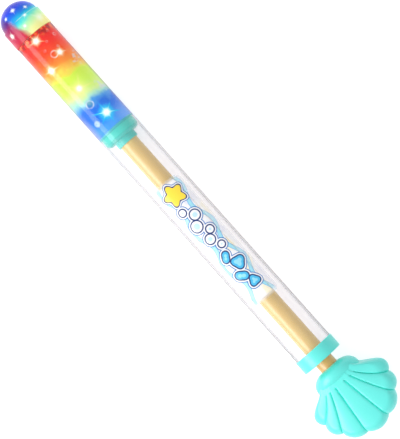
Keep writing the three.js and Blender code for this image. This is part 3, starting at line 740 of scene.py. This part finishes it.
blots = noise(place, 230.0, 1.0)
by_skirt = spread(station, 36.0, 41.0, 1.0, 0.0)
hues = painted(blended(mottle, hues, blended(1.0, hues, hues, "MULTIPLY")), [
    (by_skirt * spread(blots, 0.5, 0.42, 0.0, 0.75), 150, 10, 2),
    (by_skirt * spread(blots, 0.53, 0.62, 0.0, 0.8), 250, 132, 40),
])
bubbles = [(*bubble_at(place, *spot), darkness) for *spot, darkness in BUBBLES]
rings = joined("MAXIMUM", [ring for ring, _, _ in bubbles])
insides = joined("MAXIMUM", [inner * darkness for _, inner, darkness in bubbles])
hues = blended(insides, hues, colour(150, 130, 110), "MULTIPLY")
torn = vector("SUBTRACT", noise(place, 150.0, 3.0, "Color"), (0.5, 0.5, 0.5))
for *spot, ragged, red, green, blue in PALE_PLACES:
    moved = wired("VectorMath", {0: torn, "Scale": 22.0 * ragged * MM}, operation="SCALE")
    pale_place = bubble_at(vector("ADD", place, moved), *spot)[1]
    hues = painted(hues, [(pale_place * 0.75, red, green, blue)])


def sleeve_skin(station):
    return sleeve_radius


light, halo = glow_of(place, "chamber", sleeve_skin, [
    (1, 2.7, 7.5, 5.0, 0.6), (2, 2.4, 7.0, 4.0, 0.6), (3, 2.4, 7.0, 5.0, 0.7), (4, 2.7, 8.0, 4.0, 0.7),
    (5, 2.4, 8.0, 5.0, 0.6), (6, 2.6, 13.0, 5.0, 0.1), (7, 2.4, 8.0, 4.0, 0.6),
])
star, star_halo = glow_of(place, "chamber", sleeve_skin, [(8, 2.7, 13.0, 6.0, 0.6)])
# Painted highlight: the blue end is painted paler along its −Y side, where the tube's streak lies, and paler
# towards its +Y edge. The lamps' halos are painted into the colour too
hues = painted(hues, [
    (spread(station, 106.0, 126.0) * spread(across, -9.0, -15.0, 0.0, 0.7), 142, 160, 236),
    (spread(station, 116.0, 130.0) * spread(across, 8.0, 14.0, 0.0, 0.6), 124, 178, 255),
    (halo * 0.8, 255, 250, 150), (spread(star_halo, 0.0, 0.45), 30, 192, 252),
    (spread(star_halo, 0.4, 0.75), 140, 255, 250),
])
light = number("MAXIMUM", light, star)
tone, rough, _ = skin_of(place, hues, 0.3, 0.1, 0.06)
shown = painted(tone, [(number("MAXIMUM", light, rings * 0.55), 255, 253, 248)])
# Painted light: the film glows at about two fifths of its colour everywhere, and white over the lamps' stars
glare = blended(light, (0.5, 0.46, 0.2, 1.0), (0.7, 0.7, 0.68, 1.0))
feed(shader, {
    "Base Color": dimmed(shown, 0.78),
    "Emission Color": blended(number("MAXIMUM", light, halo * 0.35), dimmed(shown, 0.42), glare),
    "Roughness": rough,
    "Normal": bumped(rings, 0.4, 0.0003),
})
turned_piece("light_sleeve", rainbow, pipe("light_sleeve", sleeve_bore, 0.1, sleeve_radius), 128)

# Chamber ring
# A teal-tinted ring, pushed into the tube behind the sleeve. It closes the lamps' space at the liner's
# end, and the piston comes to rest against it.
start, end = ends_of("chamber_ring")
seat, rear, radius = start + 3.3, end + 0.2, tube_bore + 0.02
ring_plastic = moulded_finish(
    "ring_plastic", colour(84, 214, 224), 0.35, {"IOR": 1.45},
)
turned_piece("chamber_ring", ring_plastic, [
    (start, spigot_bore, 0.2), (start, spigot_radius, 0.2), (seat, spigot_radius, 0.2),
    (seat, radius, 0.1), (rear, radius, 0.1), (rear, liner_bore, 0.2), (seat, liner_bore, 0.1),
    (seat, spigot_bore, 0.1),
])

# Piston
# A cup of soft teal rubber that sweeps the tube, clamped on a hard teal disc and hub by a washer and a
# screw from the front. The hub's socket holds the rod.
start, end = ends_of("piston_seal")
rear, radius, lip = end + 0.25, radius_of("piston_seal"), 0.35
recess, recess_end, screw_hole = 7.0, start + 3.4, 1.8
teal_rubber = moulded_finish("teal_rubber", colour(66, 236, 218), 0.42, {"IOR": 1.45}, 1100.0, 0.05)
turned_piece("piston_seal", teal_rubber, [
    (start, recess, 0.3), (start, radius - lip, 0.2), (start + 0.4, radius, 0.5),
    (rear - 0.9, radius, 0.5), (rear, radius - 2 * lip, 0.2), (rear, screw_hole, 0.1),
    (recess_end, screw_hole, 0.1), (recess_end, recess, 0.3),
], 128)

teal_plastic = moulded_finish(
    "teal_plastic", colour(108, 254, 244), 0.34, {"Coat Roughness": 0.2, "Coat Weight": 0.15},
)
hub_plastic = moulded_finish("hub_plastic", colour(84, 228, 216), 0.34)
rod_radius = radius_of("plunger_rod")
socket_bore = rod_radius + gap
start, end = ends_of("piston_hub")
radius, disc_radius, bevel = socket_bore + 1.3, radius_of("piston_hub") - 0.3, 1.4
disc_rear, floor = start + 2.0, start + 2.6
turned_piece("piston_hub", hub_plastic, [
    (start, screw_hole, 0.1), (start, disc_radius, 0.1), (disc_rear - bevel, disc_radius, 0.3),
    (disc_rear, disc_radius - bevel, 0.4), (disc_rear, radius, 0.4), (end, radius, 0.5),
    (end, socket_bore, 0.2), (floor, socket_bore, 0.1), (floor, screw_hole, 0.1),
], 128)
turned_piece("piston_washer", steel, pipe("piston_washer", screw_hole, 0.15), 64)


def cross_screw(node, head_radius, head_height, shank_radius, length, place):
    """A pan-head screw with rolled threads and a cross recess, its head towards -X before it is placed."""
    pitch, core_radius = 0.9, shank_radius * 0.82
    profile = [
        (0, 0, 0), (0, head_radius * 0.8, 0.2), (head_height * 0.35, head_radius, 0.4),
        (head_height, head_radius, 0.15), (head_height, core_radius, 0.1),
    ]
    for k in range(int((length - head_height - 1.4) / pitch)):
        at = head_height + 0.4 + k * pitch
        profile += [(at, core_radius, 0), (at + pitch / 2, shank_radius, 0.05)]
    profile += [(length - 0.9, shank_radius * 0.8, 0), (length, 0.2, 0.05), (length, 0, 0)]
    screw = turned(node + "_dressed", filleted(profile, 3), 32, place)
    for degrees in (0, 90):
        spin = place @ Matrix.Rotation(radians(degrees), 4, "X")
        corner = Vector((head_height * 0.6, head_radius * 0.55, head_radius * 0.12)) * MM
        combined(screw, placed_block("cross_tool", spin, (-MM, -corner.y, -corner.z), corner))
    finished(screw, steel, node)


low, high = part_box("piston_screw")
screw_place = Matrix.Translation((low.x, 0, axis_height))
cross_screw("piston_screw", radius_of("piston_screw"), 1.5, 1.45, (high.x - low.x) / MM, screw_place)

# Plunger rod
# A stiff tube of gold-beige plastic, drawn out smooth, with a white plug pressed into each end: one for
# the piston's screw, one cross-drilled for the handle's pin.
rod_bore = rod_radius - 1.5
gold, tree, shader = finish_of("gold_plastic", {
    "IOR": 1.48, "Specular IOR Level": 0.8, "Coat Weight": 1.0, "Coat Roughness": 0.46,
})
place = axis_place(tree)
lines = noise(vector("MULTIPLY", place, (0.05, 1, 1)), 520.0, 3.0)
rod_lines_and_shade = blended(lines, colour(255, 208, 112), colour(255, 219, 132))
# Painted shade: behind the end cap the rod is painted darker and more orange, where the cap and the collar
# shade it, which also offsets the teal light that they throw on it
rod_lines_and_shade = painted(rod_lines_and_shade, [(spread(stations(place)[0], 386.0, 392.0, 0.0, 0.8), 255, 168, 84)])
tone, rough, _ = skin_of(place, rod_lines_and_shade, 0.4, 0.12, 0.05)
feed(shader, {"Base Color": tone, "Roughness": rough, "Normal": bumped(lines, 0.35, 0.00005)})


def standing(x, y, z):
    """The place of something turned that stands upright."""
    return Matrix.Translation((x, y, z)) @ Matrix.Rotation(radians(-90), 4, "Y")


def bar(start, end, radius, sides, place):
    return turned("bar_tool", [(start, 0), (start, radius), (end, radius), (end, 0)], sides, place)


pin_low, pin_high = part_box("handle_pin")
pin_x, pin_radius = (pin_low.x + pin_high.x) / 2, (pin_high.y - pin_low.y) / 2 / MM
rod = turned("plunger_rod_dressed", filleted(pipe("plunger_rod", rod_bore, 0.3)))
combined(rod, bar(pin_low.z / MM, pin_high.z / MM, pin_radius + gap, 48, standing(pin_x, 0, 0)))
finished(rod, gold, "plunger_rod")
for node in ("rod_front_plug", "rod_rear_plug"):
    dress(frame["nodes"][node], white_plastic)

# Rod bush and end cap
# A white ring inside the tube's rear end guides the rod, and a teal cap is pushed over the tube to hold
# it. The rod passes through the cap's hole.
bush_bore = rod_radius + 0.35
turned_piece("rod_bush", white_plastic, pipe("rod_bush", bush_bore, 0.4))
start, end = ends_of("end_cap")
front, floor, radius = start + 1.4, end - 2.2, radius_of("end_cap")
hole, bore = bush_bore + 0.15, radius - 0.7
turned_piece("end_cap", teal_plastic, [
    (front, bore, 0.1), (front, radius - 0.1, 0.25), (front + 0.4, radius, 0.3), (end - 0.5, radius, 0.5),
    (end, radius - 0.7, 0.5), (end, hole, 0.4), (floor, hole, 0.2), (floor, bore, 0.3),
], 128)

# Printed film
# A thin frosted plastic film wrapped on the tube's upper face, with its corners rounded. It is printed with
# a yellow star, bubbles, drops and waves of water.
film_start, film_end = ends_of("printed_film")
film_first, film_last = -31.5, 58.5
film_inner = tube_radius + 0.04
film_outer = film_inner + 0.2
film_corner = 6.0
film_rows, film_columns = 72, 48


def sheet_faces(rows, columns, sharp_end=False):
    """The faces of two like grids of points, closed round their edges, save at a last one that is sharp."""
    row, sheet = columns + 1, (rows + 1) * (columns + 1)
    faces = []
    for i in range(rows):
        for k in range(columns):
            a, b = i * row + k, (i + 1) * row + k
            faces += [(a, b, b + 1, a + 1), (sheet + a, sheet + a + 1, sheet + b + 1, sheet + b)]
    rims = [(i * row + k, row) for k in ([0] if sharp_end else [0, columns]) for i in range(rows)]
    rims += [(i * row + k, 1) for i in (0, rows) for k in range(columns)]
    return faces + [(a, a + step, sheet + a + step, sheet + a) for a, step in rims]


points = []
for radius in (film_inner, film_outer):
    for i in range(film_rows + 1):
        turn = film_first + (film_last - film_first) * i / film_rows
        edge = min(turn - film_first, film_last - turn) * pi / 180 * radius
        short = max(0.0, film_corner - edge)
        trim = film_corner - sqrt(max(0.0, film_corner ** 2 - short ** 2))
        for k in range(film_columns + 1):
            station = film_start + trim + (film_end - film_start - 2 * trim) * k / film_columns
            points.append(on_tube(station, turn, radius) + Vector((0, 0, axis_height)))
film = mesh_object("printed_film_dressed", points, sheet_faces(film_rows, film_columns))

# How far outside a printed motif's edge a place is: a ring of soft lobes, or a circle when it has no depth
motif, given, made = new_group("print_motif", {
    "Along": 0.0, "Round": 0.0, "Centre Along": 0.0, "Centre Round": 0.0,
    "Size": 4.0, "Points": 5.0, "Depth": 0.0, "Turn": 0.0,
}, ["Distance"])
along, aside = given["Along"] - given["Centre Along"], given["Round"] - given["Centre Round"]
from_centre = vector("LENGTH", wired("CombineXYZ", {0: along, 1: aside}), output="Value")
bearing = number("ARCTAN2", aside, along) + given["Turn"]
lobes = number("COSINE", bearing * given["Points"]) * given["Depth"] + 1.0
feed(made, {"Distance": from_centre - lobes * given["Size"]})

# The film glows a little at its own colour: painted light that keeps its print bright on the side turned away
# from the lamp
print_film, tree, shader = finish_of("print_film", {"IOR": 1.49, "Emission Strength": 0.22})
place = axis_place(tree)
station = stations(place)[0]
parts = put(tree, "SeparateXYZ", {0: place})
turn = number("ARCTAN2", Value(parts["Y"]), Value(parts["Z"]))
round_tube = turn * film_outer


def nearest(motifs):
    """The least distance outside a set of motifs, each (along, round, size, points, depth, turn)."""
    sockets = ("Centre Along", "Centre Round", "Size", "Points", "Depth", "Turn")
    return joined("SMOOTH_MIN", [
        use_group(motif, {"Along": station, "Round": round_tube, **dict(zip(sockets, values))})[0]
        for values in motifs
    ], 0.6)


def inside(distance, edge=0.0, soft=0.25):
    return spread(distance, edge - soft, edge + soft, 1.0, 0.0)


star = nearest([(210.5, 2.5, 8.4, 5.0, 0.2, 0.5)])
foam = nearest([(*circle, 1.0, 0.0, 0.0) for circle in (
    (226.0, -2.5, 3.4), (233.5, 4.5, 4.6), (242.0, -1.0, 5.2),
    (250.5, 6.0, 3.6), (257.0, 0.5, 4.4), (266.0, 5.0, 3.2),
)])
drops = nearest([
    (276.5, 0.0, 4.2, 2.0, 0.25, 0.6), (286.0, 5.5, 5.6, 3.0, 0.14, 0.2), (296.5, 0.0, 4.8, 2.0, 0.25, 2.2),
    (306.0, 5.5, 4.6, 3.0, 0.14, 1.0),
])
wave = number("SINE", station * 0.16) * 3.0
water = number("MINIMUM", abs(wave + 11.0 - round_tube), abs(wave + 5.0 + round_tube)) - 1.3
printed = joined("MINIMUM", [star, foam, drops])
patches = noise(place, 60.0, 1.0)
picture = painted(blended(noise(place, 260.0), colour(244, 245, 250), colour(252, 253, 255)), [
    (spread(patches, 0.52, 0.64, 0.0, 0.8), 255, 246, 214),
    (spread(patches, 0.46, 0.34, 0.0, 0.8), 232, 234, 248),
    (inside(water - 0.6), 120, 190, 235), (inside(water), 170, 232, 248),
    (inside(printed, 2.4), 58, 118, 190), (inside(printed, 1.6), 252, 253, 255),
    (inside(printed, 0.6), 24, 52, 116), (inside(star, -0.6), 255, 226, 70),
    (inside(foam, -0.6), 252, 253, 255), (inside(foam, -2.4, 0.7), 196, 232, 250),
    (inside(drops, -0.6), 72, 190, 238), (inside(drops, -2.6, 0.5), 150, 225, 250),
])
faded = joined("MINIMUM", [
    spread(station, film_start, film_start + 5), spread(station, film_end, film_end - 5),
    spread(abs(turn - 0.24), 0.76, 0.6),
])
backing = number("MAXIMUM", inside(abs(round_tube - 1.0), 10.5, 1.5) * 0.92, 0.42)
tone, rough, _ = skin_of(place, picture, 0.3, 0.1, 0.03)
feed(shader, {
    "Base Color": tone,
    "Emission Color": tone,
    "Roughness": rough,
    "Alpha": number("MAXIMUM", number("MAXIMUM", faded * backing, inside(printed, 2.2)), 0.12),
})
finished(film, print_film, "printed_film")

# Handle shells
# Two hollow teal shells, moulded as a rounded collar and a scallop of seven lobes, meet on a level joint.
# Inside, posts for three screws, a socket for the rod and a post for its pin stiffen them.
shell_low, shell_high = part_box("handle_shell_front")
handle_place = Matrix.Translation((shell_low.x, 0, axis_height))
collar_length = 14.0
# The collar's half width and half height: (where its crest is, its crest, its size at the scallop)
COLLAR_WIDE = (11.4, 21.8, 20.9)
COLLAR_HIGH = (6.4, (shell_high.z - axis_height) / MM, 10.0)
root_u = 9.0
# Where the lobes' edges leave the collar, across it, and where they reach the rim
ROOTS = [17.5, 12.0, 8.2, 4.0, -4.0, -8.2, -12.0, -17.5]
NOTCHES = [(12.5, 20.6), (34.4, 35.0), (48.9, 28.0), (60.9, 11.2), (60.9, -11.2)]
# Each lobe's rise over its chord, how far its crest leans and how square it is, from the side to the middle
middle_rise = (shell_high.x - shell_low.x) / MM - NOTCHES[3][0]
LOBES = [(8.4, 1.9, 0.5), (4.2, 1.0, 0.65), (4.6, 1.0, 0.65), (middle_rise, 1.0, 0.7)]
lobe_count, middle_lobe = 7, 3
fan_half_height, fan_fall = 15.6, 5.2
crown_loss, crown_start, crown_full, side_loss = 0.03, 15.0, 26.0, 0.45
rim_round, rim_margin = 8.5, 0.06
groove_depth, groove_half_width, groove_start, groove_full, groove_bow = 1.8, 0.66, 15.3, 16.1, 7.8
faint_groove = 0.55
shell_wall = 2.2
far_away = 99.0


def rim_point(lobe, share, inset):
    """A place on the scallop's outline, at a lobe and a share across it, moved inwards."""
    if lobe > middle_lobe:
        twin = rim_point(lobe_count - 1 - lobe, 1 - share, inset)
        return Vector((twin.x, -twin.y))
    rise, lean, squareness = LOBES[lobe]
    start = Vector(NOTCHES[lobe])
    chord = Vector(NOTCHES[lobe + 1]) - start
    outward = Vector((-chord.y, chord.x)).normalized()
    swell = max(0.0, sin(pi * share ** lean)) ** squareness
    return start + chord * share + outward * (rise * swell - inset)


def smooth_share(value, low, high):
    share = min(1.0, max(0.0, (value - low) / (high - low)))
    return share * share * (3 - 2 * share)


def groove_at(u, v, first, last, lobe):
    """The depth of the grooves on both sides of a lobe, which is less for the last one."""
    to_first = hypot(u - first[0], v - first[1]) if lobe else far_away
    to_last = hypot(u - last[0], v - last[1]) if lobe < lobe_count - 1 else far_away
    depth = groove_depth * exp(-(min(to_first, to_last) / groove_half_width) ** 2)
    if (lobe == lobe_count - 1 and to_first < 2) or (lobe == lobe_count - 2 and to_last < 2):
        depth *= faint_groove
    return depth * smooth_share(u, groove_start, groove_full)


def fan_shape(inset, lobe_steps, rim_steps, grooved):
    """Points and faces of the scallop's solid, in metres from the collar's front and the tube's axis."""
    columns = lobe_count * lobe_steps
    lobe_at = [min(lobe_count - 1, i // lobe_steps) for i in range(columns + 1)]
    grid = []
    for i, lobe in enumerate(lobe_at):
        share = (1 - cos(pi * (i / lobe_steps - lobe))) / 2
        width = 1 - 2 * i / columns
        rim = rim_point(lobe, share, inset + rim_margin)
        root_v = ROOTS[lobe] + (ROOTS[lobe + 1] - ROOTS[lobe]) * share
        column_length = hypot(rim.x - root_u, rim.y - root_v)
        column_bow = groove_bow * width * abs(width) * 4 * (1 - smooth_share(abs(width), 0.72, 1.0))
        line = []
        for k in range(rim_steps + 1):
            reach = 1 - (1 - k / rim_steps) ** 1.5
            u = root_u + (rim.x - root_u) * reach
            v = root_v + (rim.y - root_v) * reach - column_bow * reach * (1 - reach)
            crown = crown_loss * abs(2 * share - 1) ** 3 * smooth_share(u, crown_start, crown_full)
            body = (fan_half_height - fan_fall * reach * reach) * sqrt(1 - side_loss * width * width)
            from_rim = min(1.0, (1 - reach) * column_length / (rim_round - inset))
            edge = sqrt(max(0.0, 1 - (1 - from_rim) ** 2.4))
            line.append((u, v, max(0.0, body * (1 - crown) - inset) * edge))
        grid.append(line)
    points = []
    for side in (1, -1):
        for lobe, line in zip(lobe_at, grid):
            first, last = grid[lobe * lobe_steps], grid[(lobe + 1) * lobe_steps]
            for k, (u, v, w) in enumerate(line):
                if grooved:
                    w -= groove_at(u, v, first[k], last[k], lobe)
                points.append(Vector((u, v, side * (0.0 if k == rim_steps else max(0.05, w)))) * MM)
    return points, sheet_faces(columns, rim_steps, sharp_end=True)


def welded(name, points, faces):
    """A closed mesh in the handle's place, whose coinciding points are joined."""
    piece = mesh_object(name, [handle_place @ point for point in points], faces)
    shape = bmesh.new()
    shape.from_mesh(piece.data)
    bmesh.ops.remove_doubles(shape, verts=shape.verts, dist=1e-7)
    bmesh.ops.dissolve_degenerate(shape, edges=shape.edges, dist=1e-7)
    bmesh.ops.triangulate(shape, faces=shape.faces)
    bmesh.ops.recalc_face_normals(shape, faces=shape.faces)
    shape.to_mesh(piece.data)
    shape.free()
    return piece


def swell_at(u, inset, crest_at, crest, last):
    """The collar's half size, which grows from the rod to its crest and falls off again, as two ellipses."""
    foot, far = (rod_radius, inset) if u < crest_at else (last - inset, collar_length)
    return foot + (crest - inset - foot) * sqrt(max(0.0, 1 - ((u - crest_at) / (far - crest_at)) ** 2))


def collar_shape(inset, steps, sides):
    """The collar: a bead with an oval section, which falls to a soft valley in front of the scallop."""
    points, faces = [], []
    for i in range(steps + 1):
        u = inset + (collar_length - inset) * (1 - cos(i / steps * pi)) / 2
        wide, high = swell_at(u, inset, *COLLAR_WIDE), swell_at(u, inset, *COLLAR_HIGH)
        for k in range(sides):
            turn = 2 * pi * k / sides
            points.append(Vector((u, wide * sin(turn), high * cos(turn))) * MM)
    for i in range(steps):
        for k in range(sides):
            n = (k + 1) % sides
            faces.append((i * sides + k, i * sides + n, (i + 1) * sides + n, (i + 1) * sides + k))
    faces += [tuple(range(sides)), tuple(range(steps * sides, (steps + 1) * sides))]
    return welded("collar_shape", points, faces)


def handle_form(inset, lobe_steps, rim_steps, grooved, collar_steps, sides):
    fan = welded("handle_form", *fan_shape(inset, lobe_steps, rim_steps, grooved))
    return combined(fan, collar_shape(inset, collar_steps, sides), "UNION")


HANDLE_SCREWS = [(31, 27), (31, -27), (53, 0)]
boss_radius, post_wall, screw_shank, screw_head = 3.8, 2.0, 1.3, 2.8
screw_seat, screw_reach, screw_head_height = 6.2, 6.6, 1.8
pin_u, pin_half_length, socket_reach = 11.0, 12.6, 20.3
# How far the tools that cut the shells reach, and a margin round them
outside, margin = 25.0, 5.0


def handle_post(u, v, low, high, radius):
    """A round bar along Z at a place in the handle, between two heights from the joint in millimetres."""
    return bar(low, high, radius, 48, standing(shell_low.x + u * MM, v * MM, axis_height))


shells = handle_form(0.0, 24, 100, True, 40, 128)
hollow = handle_form(shell_wall, 6, 12, False, 14, 48)
combined(hollow, bar(-margin, socket_reach + post_wall, socket_bore + post_wall, 64, handle_place))
for u, v in HANDLE_SCREWS:
    combined(hollow, handle_post(u, v, -outside, outside, boss_radius))
combined(hollow, handle_post(pin_u, 0, -outside, outside, pin_radius + post_wall))
combined(shells, hollow)
combined(shells, bar(-margin, socket_reach, socket_bore, 64, handle_place))
combined(shells, handle_post(pin_u, 0, -pin_half_length - gap, pin_half_length + gap, pin_radius + gap))
half_width, length = shell_high.y + margin * MM, shell_high.x - shell_low.x + margin * MM
for side, node in ((1, "handle_shell_front"), (-1, "handle_shell_back")):
    near, far = sorted((side * gap / 2 * MM, side * outside * MM))
    half = placed_block(
        node + "_dressed", handle_place, (-margin * MM, -half_width, near), (length, half_width, far),
    )
    combined(half, shells, "INTERSECT", keep_tool=True)
    for u, v in HANDLE_SCREWS:
        if side == 1:
            combined(half, handle_post(u, v, -margin, screw_reach + gap, screw_shank + gap))
            continue
        combined(half, handle_post(u, v, -outside, margin, screw_shank + gap))
        combined(half, handle_post(u, v, -outside, -screw_seat, screw_head + gap))
    finished(settled(half, 60), teal_plastic, node)
bpy.data.objects.remove(shells)

# Handle pin and screws
# A steel pin goes through the rod and its plug into both shells. Three steel screws, set deep in wells in
# the back shell, draw the front shell down on it.
pin_length, pin_round = (pin_high.z - pin_low.z) / MM, pin_radius * 0.99
turned_piece("handle_pin", steel, [
    (0, 0, 0), (0, pin_round, 0.4), (pin_length, pin_round, 0.4), (pin_length, 0, 0),
], 40, standing(pin_x, 0, pin_low.z))
for i, (u, v) in enumerate(HANDLE_SCREWS, 1):
    low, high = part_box(f"handle_screw_{i}")
    cross_screw(
        f"handle_screw_{i}", screw_head * 0.98, screw_head_height, screw_shank * 0.97,
        (high.z - low.z) / MM, standing(shell_low.x + u * MM, v * MM, low.z),
    )

# Floor and light
# The object lies on a white table in even light. A long soft lamp on the nose's right side gives the tube
# its pale streak.
half_floor, floor_depth = 3.0, -0.0002
floor_corners = [
    (x * half_floor, y * half_floor, floor_depth) for x, y in ((-1, -1), (1, -1), (1, 1), (-1, 1))
]
floor_mesh = bpy.data.meshes.new("floor")
floor_mesh.from_pydata(floor_corners, [], [(0, 1, 2, 3)])
floor = new_object("floor", floor_mesh)


def seen_straight(tree):
    """One for rays from the camera and for rays that glossy or clear surfaces pass on."""
    path = put(tree, "LightPath")
    return joined("MAXIMUM", [Value(path[f"Is {kind} Ray"]) for kind in ("Glossy", "Transmission", "Camera")])


# White to the eye, and a shade greyer through clear plastic, so that the tube shows on it
table, tree, shader = finish_of("table", {
    "Base Color": (0.72, 0.72, 0.74, 1), "Roughness": 0.9, "Specular IOR Level": 0.1,
})
through_clear = Value(put(tree, "LightPath")["Is Transmission Ray"])
white_floor = wired("Emission", {
    "Color": (0.99, 0.97, 1.0, 1), "Strength": spread(through_clear, 0, 1, 0.74, 0.54, kind="LINEAR"),
})
plain_floor = Value(shader.outputs[0])
both = wired("AddShader", {0: plain_floor, 1: white_floor})
feed(tree.nodes["Material Output"], {
    "Surface": wired("MixShader", {0: seen_straight(tree), 1: plain_floor, 2: both}),
})
dress(floor, table)

world = bpy.data.worlds.new("world")
bpy.context.scene.world = world
world.use_nodes = True
sky = world.node_tree.nodes["Background"]
ambient = 0.6
sky.inputs["Color"].default_value = (1, 1, 1, 1)
feed(sky, {"Strength": spread(seen_straight(world.node_tree), 0, 1, ambient, 1.0, kind="LINEAR")})

# The long lamp, twice in one place: once for all surfaces, and once for mirroring ones alone
lamp_distance, lamp_length, lamp_breadth = 1.6, 2.4, 0.8
key_turn = radians(44.4)
key_place = Vector((0, -lamp_distance * sin(key_turn), lamp_distance * cos(key_turn)))
away = (key_place - Vector((0, 0, axis_height))).normalized()
level = Vector((1, 0, 0))
for name, power in (("key", 18.0), ("mirrored_key", 22.0)):
    data = bpy.data.lights.new(name, "AREA")
    data.shape, data.size, data.size_y, data.energy = "RECTANGLE", lamp_length, lamp_breadth, power
    lamp = new_object(name, data)
    lamp.matrix_world = Matrix((level, away.cross(level), away)).transposed().to_4x4()
    lamp.location = key_place
    lamp.visible_transmission = False
    lamp.visible_diffuse = name == "key"

bpy.context.scene.view_settings.view_transform = "Standard"
